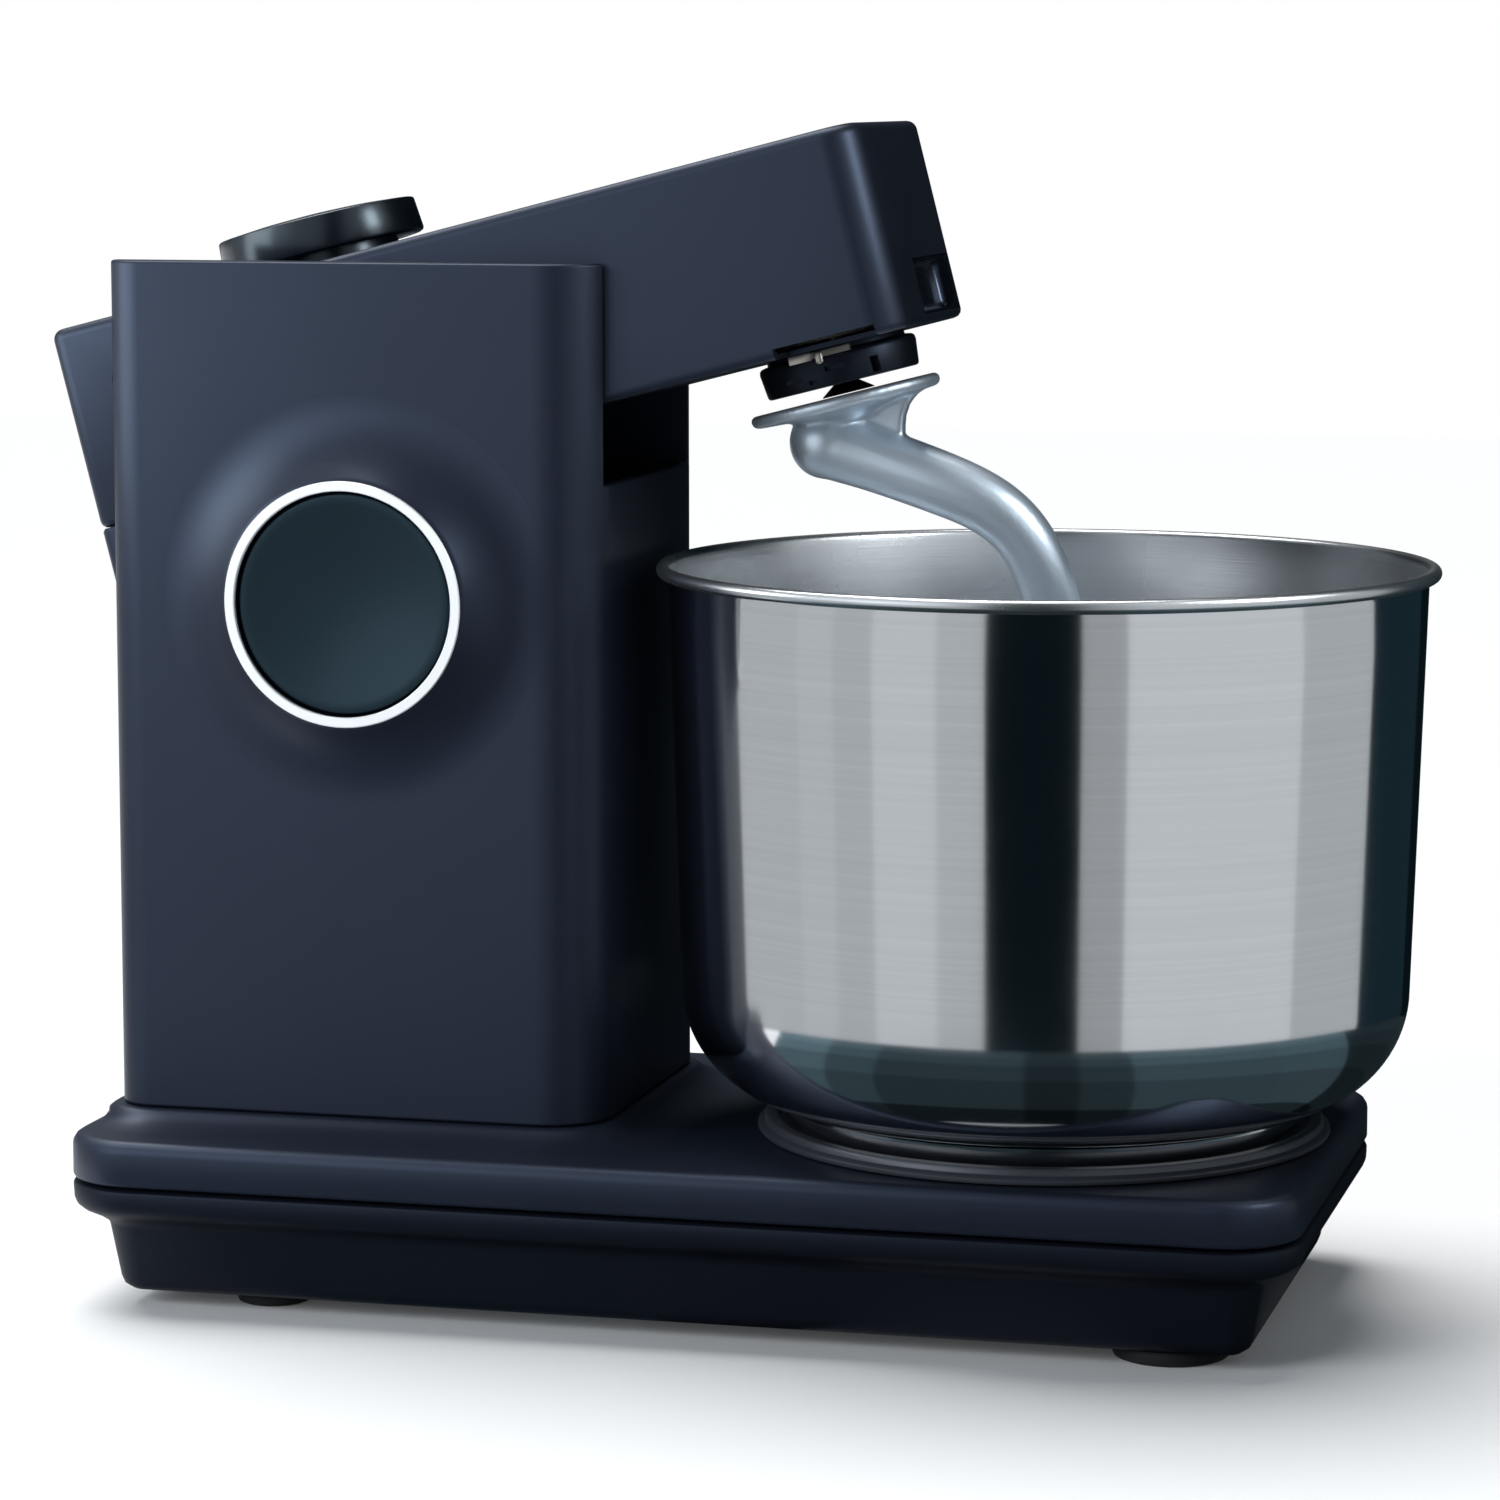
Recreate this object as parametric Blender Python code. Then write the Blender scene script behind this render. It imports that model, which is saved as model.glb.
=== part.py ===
"""Tilt-head stand mixer: base, two-cheek tower, tilting arm, planetary drive, hook and bowl.

Frame: +X towards the bowl, -Y the release-button side, +Z up, z = 0 under the feet.
Metres. The arm is modelled level, about its hinge, and then raised by ARM_TILT.
"""
import math

import bmesh
import bpy
from mathutils import Matrix, Vector

# ---------------------------------------------------------------- driving dimensions (metres)
GAP = 0.0003              # face to face gap between neighbouring pieces
RUN = 0.0005              # gap round a piece that turns or slides
FIT = 0.0002              # gap in a bearing bore

BASE_REAR = -0.2010       # base outline
BASE_FRONT = 0.1885
BASE_HALF_WIDTH = 0.0960
BASE_CORNER = 0.0240
BASE_TOP = 0.0555
BASE_SEAM = 0.0405        # split between top shell and bottom tray
BASE_WALL = 0.0026
TRAY_BOTTOM = 0.0047
TRAY_INSET = 0.0110       # how far the tray steps in below its flange
TRAY_DRAFT = 0.0040

FRONT_FOOT_R = 0.0178
REAR_FOOT_R = 0.0118
FOOT_Y = 0.0600
FRONT_FOOT_X = 0.1470
REAR_FOOT_X = -0.1400

TOWER_REAR = -0.1920
TOWER_FRONT = -0.0325
TOWER_HALF_WIDTH = 0.0648
TOWER_STEP = 0.0055       # the joint between tower and base lies this far above the base
TOWER_FOOT = BASE_TOP + TOWER_STEP
TOWER_TOP = 0.3275
CHEEK = 0.0145            # thickness of each hollow cheek
CHEEK_WALL = 0.0026
TOWER_FRONT_CORNER = 0.0200
TOWER_REAR_CORNER = 0.0125
PANEL = 0.0032            # front panel and rear cover thickness
LEDGE_TOP = 0.2595
REAR_COVER_TOP = 0.1880
FAIRING_REACH = 0.0170    # how far the base's fairing spreads round the tower

PIVOT_X = -0.1006         # arm hinge
PIVOT_Z = 0.1300
ARM_TILT = math.radians(14.4)
SHAFT_R = 0.0060
BRACKET = 0.0030

ARM_SIDE_GAP = 0.0013           # between the arm and each cheek
ARM_HALF_WIDTH = TOWER_HALF_WIDTH - CHEEK - ARM_SIDE_GAP
ARM_TOP = TOWER_TOP - PIVOT_Z   # above the hinge, arm level
ARM_SEAM = 0.1357               # lower edge of the upper shell
ARM_UNDER = 0.1332              # underside of the lower cover
ARM_REAR = -0.0685              # ahead of the hinge
ARM_FRONT = 0.2000
ARM_WALL = 0.0026
ARM_CORNER = 0.0115
ARM_REAR_CORNER = 0.0050
ARM_TOP_EDGE = 0.0030

LEG_FRONT = 0.0600
LEG_SIDE_GAP = 0.0008           # between the leg, the hinge brackets and the cheeks
LEG_SHOULDER = 0.0600           # height above the hinge where the leg gets its full width
LEG_BOTTOM = -0.0280
LEG_WALL = 0.0030
BUSH_R = 0.0095

GRIP_RIGHT = 0.0357             # finger recess under the nose, from the arm's right side
GRIP_LEFT = 0.0107              # and from its left side
GRIP_TOP = 0.1535
GRIP_DEPTH = 0.0070
GRIP_WALL = 0.0016
SIDE_HOLE_X = -0.0483
SIDE_HOLE_Z = 0.1775
SIDE_HOLE_R = 0.0029

DIAL_X = 0.0106
DIAL_R = 0.0325
DIAL_LIFT = 0.0040              # dark gap under the dial
DIAL_HEIGHT = 0.0110
DIAL_NECK_R = 0.0270
DIAL_SHAFT_R = 0.0030

RING_X = -0.1095                # release button
RING_Z = 0.2235
RING_R = 0.0380
RING_BAND = 0.0034
BOSS_HEIGHT = 0.0110
BOSS_FOOT_R = 0.0560
BUTTON_TRAVEL = 0.0050
BUTTON_STEM_R = 0.0100

HUB_X = 0.1665                  # planetary drive, ahead of the hinge
HUB_R = 0.0250
HUB_HEIGHT = 0.0088
HUB_BOTTOM = 0.1219
HUB_NECK_R = 0.0220
TOOTH = 0.0010                  # gear module
RING_TEETH = 33
PLANET_TEETH = 12
PLANET_ANGLE = math.radians(100)
GEAR_HEIGHT = 0.0060
CARRIER_SHAFT_R = 0.0032
SPINDLE_R = 0.0034
BEARING_HEIGHT = 0.0120

PULLEY_SMALL_R = 0.0100
PULLEY_LARGE_R = 0.0270
PULLEY_HEIGHT = 0.0100
BELT = 0.0016
MOTOR_X = -0.0080
MOTOR_R = 0.0300
MOTOR_BOTTOM = 0.0300
MOTOR_TOP = 0.1080
MOTOR_SHAFT_R = 0.0040

HOOK_PLATE_R = 0.0310
HOOK_PLATE_TOP = 0.1180
HOOK_PLATE_EDGE = 0.0034
HOOK_ROD_R = 0.0097
HOOK_REACH = 0.0470             # rod centre line from the spindle axis
HOOK_BOTTOM = -0.0420           # lowest point of the rod's centre line

BOWL_X = 0.0955
BOWL_TOP_R = 0.1180             # wall below the rim
BOWL_ROLL = 0.0038              # how far the rolled rim stands out
BOWL_TAPER = 0.0040             # how much narrower the wall is low down
BOWL_RIM_Z = 0.2345
BOWL_LIFT = 0.0105              # the bowl's floor above the base
BOWL_CURVE = 0.0360             # radius between wall and floor
BOWL_SHEET = 0.0010
FOOT_INSET = 0.0355             # the foot's outside, in from the wall
SEAT_BAND = 0.0075              # the seat stands out round the foot
SEAT_RISE = 0.0052
SEAT_LIP = 0.0026               # ledge that carries the bowl's foot

TILT = Matrix.Rotation(-ARM_TILT, 4, "Y")
PLANET_OFFSET = TOOTH * (RING_TEETH - PLANET_TEETH) / 2
SPINDLE_X = HUB_X + PLANET_OFFSET * math.cos(PLANET_ANGLE)
SPINDLE_Y = PLANET_OFFSET * math.sin(PLANET_ANGLE)
TOWER_INSIDE = TOWER_HALF_WIDTH - CHEEK
LEG_NARROW = TOWER_INSIDE - BRACKET - 2 * LEG_SIDE_GAP  # half width beside the hinge brackets
GRIP_Y0 = GRIP_RIGHT - ARM_HALF_WIDTH
GRIP_Y1 = ARM_HALF_WIDTH - GRIP_LEFT
BOWL_RIM_R = BOWL_TOP_R + BOWL_ROLL
BOWL_LOW_R = BOWL_TOP_R - BOWL_TAPER
BOWL_FLOOR = BASE_TOP + BOWL_LIFT
FOOT_RING_R = BOWL_TOP_R - FOOT_INSET
SEAT_R = FOOT_RING_R + SEAT_BAND
SEAT_TOP = BASE_TOP + SEAT_RISE


# ---------------------------------------------------------------- scene and helpers
for old in list(bpy.data.objects):
    bpy.data.objects.remove(old, do_unlink=True)


def material(name, colour, roughness, metallic=0.0):
    """A plain Principled material; made once for each name."""
    found = bpy.data.materials.get(name)
    if found:
        return found
    made = bpy.data.materials.new(name)
    made.use_nodes = True
    shader = made.node_tree.nodes["Principled BSDF"]
    shader.inputs["Base Color"].default_value = (*colour, 1.0)
    shader.inputs["Roughness"].default_value = roughness
    shader.inputs["Metallic"].default_value = metallic
    made.diffuse_color = (*colour, 1.0)
    return made


BLACK = material("housing_black", (0.030, 0.036, 0.044), 0.38)
DARK = material("tray_black", (0.012, 0.013, 0.016), 0.55)
RUBBER = material("rubber_black", (0.02, 0.02, 0.022), 0.8)
SATIN = material("ring_satin", (0.78, 0.79, 0.80), 0.3, 1.0)
STEEL = material("bowl_steel", (0.70, 0.71, 0.72), 0.2, 1.0)
CAST = material("cast_aluminium", (0.42, 0.46, 0.50), 0.45, 0.9)
PLATED = material("plated_steel", (0.55, 0.55, 0.56), 0.35, 1.0)
NYLON = material("gear_nylon", (0.75, 0.73, 0.66), 0.5)
BOARD = material("board_green", (0.05, 0.17, 0.09), 0.5)


def empty(name, location, turn=None):
    """A guide that carries parts; location in the world, turn a rotation matrix."""
    made = bpy.data.objects.new(name, None)
    made.matrix_world = Matrix.Translation(location) @ (turn or Matrix())
    bpy.context.collection.objects.link(made)
    return made


def finish(name, bm, mat, parent=None, location=(0, 0, 0), rotation=(0, 0, 0), sharp=32):
    """Turns a bmesh into a named object with outward faces and smooth round sides."""
    bmesh.ops.remove_doubles(bm, verts=bm.verts, dist=1e-6)
    bmesh.ops.recalc_face_normals(bm, faces=bm.faces)
    if bm.calc_volume(signed=True) < 0:
        bmesh.ops.reverse_faces(bm, faces=bm.faces)
    mesh = bpy.data.meshes.new(name)
    bm.to_mesh(mesh)
    bm.free()
    mesh.shade_smooth()
    mesh.set_sharp_from_angle(angle=math.radians(sharp))
    mesh.materials.append(mat)
    made = bpy.data.objects.new(name, mesh)
    made.parent = parent
    made.location = location
    made.rotation_euler = rotation
    bpy.context.collection.objects.link(made)
    return made


def join_boolean(target, tool, operation):
    """Adds tool to target, or cuts it away, with an exact Boolean; tool becomes a hidden guide."""
    tool.hide_render = True
    tool.display_type = "WIRE"
    change = target.modifiers.new(tool.name, "BOOLEAN")
    change.operation = operation
    change.solver = "EXACT"
    change.object = tool


def loft(loops):
    """A closed body through loops of equal point count; the first and last loops are capped."""
    bm = bmesh.new()
    rows = [[bm.verts.new(point) for point in loop] for loop in loops]
    count = len(rows[0])
    for low, high in zip(rows, rows[1:]):
        for i in range(count):
            j = (i + 1) % count
            bm.faces.new((low[i], low[j], high[j], high[i]))
    bm.faces.new(rows[0])
    bm.faces.new(rows[-1])
    return bm


def rounded_outline(x0, x1, y0, y1, radii, steps=6):
    """Corner-rounded rectangle; radii for (x1,y0), (x1,y1), (x0,y1), (x0,y0)."""
    corners = ((x1, y0, -90), (x1, y1, 0), (x0, y1, 90), (x0, y0, 180))
    points = []
    for (x, y, start), radius in zip(corners, radii):
        cx = x - radius if x == x1 else x + radius
        cy = y + radius if y == y0 else y - radius
        for k in range(steps + 1):
            angle = math.radians(start + 90 * k / steps)
            points.append((cx + radius * math.cos(angle), cy + radius * math.sin(angle)))
    return points


def level(outline, z):
    """Lifts a plan outline to height z."""
    return [(x, y, z) for x, y in outline]


def turned(profile, segments=48, closed=False):
    """Spins (radius, height) points about Z; closed joins the last point to the first."""
    bm = bmesh.new()
    verts = [bm.verts.new((r, 0.0, z)) for r, z in profile]
    pairs = list(zip(verts, verts[1:]))
    if closed:
        pairs.append((verts[-1], verts[0]))
    edges = [bm.edges.new(pair) for pair in pairs]
    bmesh.ops.spin(bm, geom=verts + edges, cent=(0, 0, 0), axis=(0, 0, 1),
                   angle=math.tau, steps=segments, use_merge=True)
    bmesh.ops.remove_doubles(bm, verts=bm.verts, dist=1e-6)
    return bm


def disc(radius, z0, z1, edge=0.0, segments=32, dome=0.0):
    """A solid round piece with a bevelled rim and, where asked, a domed top."""
    profile = [(0, z0), (radius - edge, z0), (radius, z0 + edge)]
    if edge:
        profile += [(radius, z1 - edge), (radius - edge, z1)]
    else:
        profile = [(0, z0), (radius, z0), (radius, z1)]
    if dome:
        profile += [(radius * share, z1 + dome * (1 - share ** 2)) for share in (0.75, 0.5, 0.25)]
    profile.append((0, z1 + dome))
    return turned(profile, segments)


def ring(inner, outer, z0, z1, edge=0.0, segments=48):
    """A plain ring with an optional bevel on its outer rim."""
    if not edge:
        return turned([(inner, z0), (outer, z0), (outer, z1), (inner, z1)], segments, closed=True)
    return turned([(inner, z0), (outer - edge, z0), (outer, z0 + edge), (outer, z1 - edge),
                   (outer - edge, z1), (inner, z1)], segments, closed=True)


def block(x0, x1, y0, y1, z0, z1, edge=0.0):
    """A box, with all its edges bevelled when edge is given."""
    bm = bmesh.new()
    bmesh.ops.create_cube(bm, size=1.0)
    bmesh.ops.scale(bm, vec=(x1 - x0, y1 - y0, z1 - z0), verts=bm.verts)
    bmesh.ops.translate(bm, vec=((x0 + x1) / 2, (y0 + y1) / 2, (z0 + z1) / 2), verts=bm.verts)
    if edge:
        bmesh.ops.bevel(bm, geom=bm.edges[:], offset=edge, segments=1, affect="EDGES")
    return bm


# ---------------------------------------------------------------- base
def base_outline(inset):
    """The base's plan outline, moved in by inset."""
    radius = max(BASE_CORNER - inset, 0.004)
    return rounded_outline(BASE_REAR + inset, BASE_FRONT - inset, -BASE_HALF_WIDTH + inset,
                           BASE_HALF_WIDTH - inset, (radius,) * 4)


def fairing_outline(spread):
    """The tower's plan outline, spread outwards."""
    front = TOWER_FRONT_CORNER + spread
    rear = min(TOWER_REAR_CORNER + spread, BASE_CORNER)
    reach = TOWER_HALF_WIDTH + spread
    back = max(TOWER_REAR - spread, BASE_REAR + 0.0045)
    return rounded_outline(back, TOWER_FRONT + spread, -reach, reach, (front, front, rear, rear))


def build_base_top_shell():
    """Upper shell with the raised fairing that the tower stands on; open below."""
    low = BASE_SEAM + GAP
    inner_top = BASE_TOP - BASE_WALL
    loops = [level(base_outline(0.0012), low),
             level(base_outline(0), low + 0.0016),
             level(base_outline(0), BASE_TOP - 0.0040),
             level(base_outline(0.0012), BASE_TOP - 0.0012),
             level(base_outline(0.0040), BASE_TOP),
             level(fairing_outline(FAIRING_REACH), BASE_TOP + 0.0001),
             level(fairing_outline(FAIRING_REACH * 0.5), BASE_TOP + 0.0010),
             level(fairing_outline(0.0040), TOWER_FOOT - 0.0022),
             level(fairing_outline(0.0025), TOWER_FOOT - GAP)]
    inside = [level(base_outline(0.0065), inner_top),
              level(base_outline(0.0012 + BASE_WALL), inner_top - 0.0035),
              level(base_outline(0.0012 + BASE_WALL), low)]
    return finish("base_top_shell", pot(loops, inside), BLACK)


def pot(outer, inner):
    """A hollow body: outer loops end in a closed cap, inner loops start with one, rims meet."""
    bm = bmesh.new()
    rows = [[bm.verts.new(point) for point in loop] for loop in outer]
    hollow = [[bm.verts.new(point) for point in loop] for loop in inner]
    count = len(rows[0])

    def band(one, two):
        for i in range(count):
            j = (i + 1) % count
            bm.faces.new((one[i], one[j], two[j], two[i]))

    for one, two in zip(rows, rows[1:]):
        band(one, two)
    for one, two in zip(hollow, hollow[1:]):
        band(one, two)
    band(hollow[-1], rows[0])
    bm.faces.new(rows[-1])
    bm.faces.new(hollow[0])
    return bm


def build_base_bottom_tray():
    """Lower housing: an outer flange under the seam and a stepped-in tray; open above."""
    high = BASE_SEAM
    wall_top = TRAY_INSET
    wall_low = TRAY_INSET + TRAY_DRAFT
    outer = [level(base_outline(0.0010), high),
             level(base_outline(0), high - 0.0012),
             level(base_outline(0.0002), high - 0.0055),
             level(base_outline(0.0030), high - 0.0092),
             level(base_outline(wall_top), high - 0.0135),
             level(base_outline(wall_low), TRAY_BOTTOM + 0.0030),
             level(base_outline(wall_low + 0.0035), TRAY_BOTTOM)]
    inner = [level(base_outline(wall_low + 0.0035 + BASE_WALL), TRAY_BOTTOM + BASE_WALL),
             level(base_outline(wall_top + BASE_WALL), high - 0.0135 + 0.0006),
             level(base_outline(0.0034 + BASE_WALL), high - 0.0070),
             level(base_outline(0.0010 + BASE_WALL), high)]
    return finish("base_bottom_tray", pot(outer, inner), DARK)


def build_feet():
    """Four round rubber feet under the tray, the front pair larger."""
    for end, x, radius in (("front", FRONT_FOOT_X, FRONT_FOOT_R), ("rear", REAR_FOOT_X, REAR_FOOT_R)):
        for side, y in (("right", -FOOT_Y), ("left", FOOT_Y)):
            finish(f"foot_{end}_{side}", disc(radius, 0, TRAY_BOTTOM - GAP, 0.0010, 28), RUBBER,
                   location=(x, y, 0))


def build_base_screws():
    """Screws that close the tray, one beside each foot."""
    for number, (x, y) in enumerate(((0.110, -0.045), (0.110, 0.045), (-0.105, -0.045), (-0.105, 0.045))):
        finish(f"base_screw_{number + 1}", disc(0.0042, TRAY_BOTTOM - 0.0021, TRAY_BOTTOM - GAP, 0.0004, 12),
               PLATED, location=(x, y, 0))


def build_seat_ring():
    """Stepped ring on the base that the bowl's foot turns into."""
    low = BASE_TOP + GAP
    inner = FOOT_RING_R - 0.0060
    profile = [(inner, low), (SEAT_R, low), (SEAT_R, low + 0.0020), (SEAT_R - 0.0018, low + 0.0024),
               (SEAT_R - 0.0022, SEAT_TOP - 0.0004), (SEAT_R - 0.0026, SEAT_TOP),
               (FOOT_RING_R + 0.0010, SEAT_TOP), (FOOT_RING_R + 0.0010, low + SEAT_LIP), (inner, low + SEAT_LIP)]
    return finish("bowl_seat_ring", turned(profile, 56, closed=True), DARK, location=(BOWL_X, 0, 0))


# ---------------------------------------------------------------- tower
def cheek_outline(inset, side):
    """Plan of one cheek: rounded outer corners, square inner ones; side is -1 or 1."""
    front = max(TOWER_FRONT_CORNER - inset, 0.002)
    rear = max(TOWER_REAR_CORNER - inset, 0.002)
    outer = TOWER_HALF_WIDTH - inset
    inner = TOWER_INSIDE + inset
    points = []
    steps = 7
    front_limit = min(math.radians(90), math.acos(max(1 - (CHEEK - 2 * inset) / front, 0.0)))
    for k in range(steps + 1):
        angle = front_limit * (1 - k / steps)
        points.append((TOWER_FRONT - inset - front + front * math.sin(angle),
                       outer - front + front * math.cos(angle)))
    rear_limit = min(math.radians(90), math.acos(max(1 - (CHEEK - 2 * inset) / rear, -1.0)))
    for k in range(steps + 1):
        angle = rear_limit * k / steps
        points.append((TOWER_REAR + inset + rear - rear * math.sin(angle),
                       outer - rear + rear * math.cos(angle)))
    points.append((points[-1][0], inner))
    points.append((points[0][0], inner))
    return [(x, side * y) for x, y in points]


def build_cheek(name, side):
    """One hollow side of the tower, open below."""
    wall = CHEEK_WALL
    outer = [level(cheek_outline(0, side), TOWER_FOOT),
             level(cheek_outline(0, side), TOWER_TOP - 0.0018),
             level(cheek_outline(0.0016, side), TOWER_TOP)]
    inner = [level(cheek_outline(wall, side), TOWER_TOP - wall),
             level(cheek_outline(wall, side), TOWER_FOOT)]
    cheek = finish(name, pot(outer, inner), BLACK)
    if side < 0:
        hole = finish("stem_hole", disc(BUTTON_STEM_R + RUN, -2 * wall, 2 * wall, segments=32), BLACK,
                      location=(RING_X, -TOWER_HALF_WIDTH, RING_Z), rotation=(math.radians(90), 0, 0))
        join_boolean(cheek, hole, "DIFFERENCE")
    return cheek


def build_tower_panels():
    """Front panel up to the ledge under the arm, and the lower rear cover."""
    half = TOWER_INSIDE - GAP
    finish("tower_front_panel", block(TOWER_FRONT - 0.0006 - PANEL, TOWER_FRONT - 0.0006, -half, half,
                                      TOWER_FOOT, LEDGE_TOP, 0.0004), BLACK)
    finish("tower_rear_cover", block(TOWER_REAR, TOWER_REAR + PANEL, -half, half,
                                     TOWER_FOOT, REAR_COVER_TOP, 0.0006), BLACK)


def build_hinge_brackets():
    """Steel brackets inside the tower that carry the hinge shaft."""
    thick0 = TOWER_INSIDE - LEG_SIDE_GAP - BRACKET
    for name, side in (("hinge_bracket_right", -1), ("hinge_bracket_left", 1)):
        bm = bmesh.new()
        outline = [(PIVOT_X - 0.034, TOWER_FOOT), (PIVOT_X + 0.034, TOWER_FOOT)]
        for k in range(9):
            angle = math.pi * k / 8
            outline.append((PIVOT_X + 0.016 * math.cos(angle), PIVOT_Z + 0.016 * math.sin(angle)))
        y = thick0 if side > 0 else -thick0 - BRACKET
        face = bm.faces.new([bm.verts.new((x, y, z)) for x, z in outline])
        grown = bmesh.ops.extrude_face_region(bm, geom=[face])
        moved = [item for item in grown["geom"] if isinstance(item, bmesh.types.BMVert)]
        bmesh.ops.translate(bm, vec=(0, BRACKET, 0), verts=moved)
        plate = finish(name, bm, PLATED)
        bore = finish(f"{name}_bore", disc(SHAFT_R + GAP, -0.02, 0.02, segments=24), PLATED,
                      location=(PIVOT_X, side * thick0, PIVOT_Z), rotation=(math.radians(90), 0, 0))
        join_boolean(plate, bore, "DIFFERENCE")


def build_hinge_shaft():
    """Steel shaft through both brackets and the arm's leg."""
    length = 2 * (TOWER_INSIDE - 0.0004)
    finish("hinge_shaft", disc(SHAFT_R, -length / 2, length / 2, 0.0006, 24), PLATED,
           location=(PIVOT_X, 0, PIVOT_Z), rotation=(math.radians(90), 0, 0))


def coil(radius, wire, turns, length, sides=6, per_turn=12):
    """A helical wire about Z from 0 to length, as one closed tube."""
    count = int(turns * per_turn)
    loops = []
    for k in range(count + 1):
        angle = math.tau * turns * k / count
        centre = Vector((radius * math.cos(angle), radius * math.sin(angle), length * k / count))
        outward = Vector((math.cos(angle), math.sin(angle), 0))
        rise = Vector((0, 0, 1))
        loops.append([centre + wire * (outward * math.cos(math.tau * s / sides)
                                       + rise * math.sin(math.tau * s / sides)) for s in range(sides)])
    return loft(loops)


def build_lift_spring():
    """Coil on the hinge shaft that helps to lift the arm."""
    turns = 5.5
    length = 0.030
    finish("lift_spring", coil(0.0105, 0.0016, turns, length), PLATED,
           location=(PIVOT_X, length / 2, PIVOT_Z), rotation=(math.radians(90), 0, 0), sharp=60)


def build_release():
    """Boss on the near cheek with its satin ring, the push button and its return spring."""
    outward = (math.radians(90), 0, 0)
    place = (RING_X, -TOWER_HALF_WIDTH, RING_Z)
    bore = RING_R - RING_BAND + GAP
    rise = 8
    profile = [(bore, GAP), (BOSS_FOOT_R, GAP), (BOSS_FOOT_R, GAP + 0.0008)]
    for k in range(1, rise + 1):
        share = k / rise
        radius = BOSS_FOOT_R - (BOSS_FOOT_R - RING_R - 0.0006) * math.sin(share * math.pi / 2)
        profile.append((radius, GAP + 0.0008 + (BOSS_HEIGHT - 0.0008) * (1 - math.cos(share * math.pi / 2))))
    profile += [(bore, GAP + BOSS_HEIGHT)]
    finish("release_boss", turned(profile, 48, closed=True), BLACK, location=place, rotation=outward)
    trim_low = BOSS_HEIGHT + 2 * GAP
    trim = [(bore + 0.0004, trim_low), (RING_R, trim_low), (RING_R, trim_low + 0.0008),
            (RING_R - 0.0010, trim_low + 0.0016), (bore + 0.0010, trim_low + 0.0016)]
    finish("ring_trim", turned(trim, 48, closed=True), SATIN, location=place, rotation=outward)
    face = BOSS_HEIGHT - 0.0004
    radius = bore - RUN
    back = BUTTON_TRAVEL + 4 * GAP
    button = [(0, -0.0045), (BUTTON_STEM_R, -0.0045), (BUTTON_STEM_R, back),
              (radius - 0.0010, back), (radius, back + 0.0010), (radius, face), (radius - 0.0012, face + 0.0004),
              (radius * 0.86, face - 0.0010), (radius * 0.55, face - 0.0024), (0, face - 0.0030)]
    finish("release_button", turned(button, 48), BLACK, location=place, rotation=outward)
    wire = 0.0008
    length = back - 2 * wire - 2 * GAP
    finish("button_spring", coil(0.0170, wire, 1.5, length), PLATED,
           location=(RING_X, -TOWER_HALF_WIDTH - wire - GAP, RING_Z), rotation=outward, sharp=60)


def build_cable_gland():
    """Rubber inlet for the mains lead on the rear cover."""
    profile = [(0.0036, GAP), (0.0095, GAP), (0.0095, 0.0022), (0.0066, 0.0030), (0.0056, 0.0085),
               (0.0036, 0.0085)]
    finish("cable_gland", turned(profile, 24, closed=True), RUBBER,
           location=(TOWER_REAR, 0, 0.0900), rotation=(0, math.radians(-90), 0))


# ---------------------------------------------------------------- arm
def arm_outline(inset):
    """Plan of the arm about its hinge, moved in by inset."""
    front = max(ARM_CORNER - inset, 0.002)
    rear = max(ARM_REAR_CORNER - inset, 0.002)
    return rounded_outline(ARM_REAR + inset, ARM_FRONT - inset, -ARM_HALF_WIDTH + inset,
                           ARM_HALF_WIDTH - inset, (front, front, rear, rear), steps=5)


def build_arm_upper_shell(arm):
    """The arm's top and sides in one moulding, open below, with the grip notch and side holes."""
    outer = [level(arm_outline(0), ARM_SEAM),
             level(arm_outline(0), ARM_TOP - ARM_TOP_EDGE),
             level(arm_outline(ARM_TOP_EDGE * 0.3), ARM_TOP - ARM_TOP_EDGE * 0.3),
             level(arm_outline(ARM_TOP_EDGE), ARM_TOP)]
    inner = [level(arm_outline(ARM_WALL + 0.001), ARM_TOP - ARM_WALL),
             level(arm_outline(ARM_WALL), ARM_SEAM)]
    shell = finish("arm_upper_shell", pot(outer, inner), BLACK, arm)
    notch = finish("grip_notch", block(ARM_FRONT - 0.006, ARM_FRONT + 0.01, GRIP_Y0 - GAP, GRIP_Y1 + GAP,
                                       ARM_SEAM - 0.01, GRIP_TOP + GAP), BLACK, arm)
    hole = finish("side_hole", disc(SIDE_HOLE_R, -0.06, 0.06, segments=16), BLACK, arm,
                  location=(SIDE_HOLE_X, 0, SIDE_HOLE_Z), rotation=(math.radians(90), 0, 0))
    neck = finish("dial_hole", disc(DIAL_SHAFT_R + RUN, ARM_TOP - 0.01, ARM_TOP + 0.01, segments=16),
                  BLACK, arm, location=(DIAL_X, 0, 0))
    for cutter in (notch, hole, neck):
        join_boolean(shell, cutter, "DIFFERENCE")


def build_arm_lower_cover(arm):
    """Flat cover under the front of the arm with the opening for the drive hub."""
    outline = rounded_outline(LEG_FRONT + GAP, ARM_FRONT, -ARM_HALF_WIDTH, ARM_HALF_WIDTH,
                              (ARM_CORNER, ARM_CORNER, 0.002, 0.002), steps=5)
    plate = finish("arm_lower_cover", loft([level(outline, ARM_UNDER), level(outline, ARM_SEAM - GAP)]),
                   BLACK, arm)
    opening = finish("hub_opening", disc(HUB_NECK_R + RUN, ARM_UNDER - 0.01, ARM_SEAM + 0.01, segments=40),
                     BLACK, arm, location=(HUB_X, 0, 0))
    join_boolean(plate, opening, "DIFFERENCE")


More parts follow.
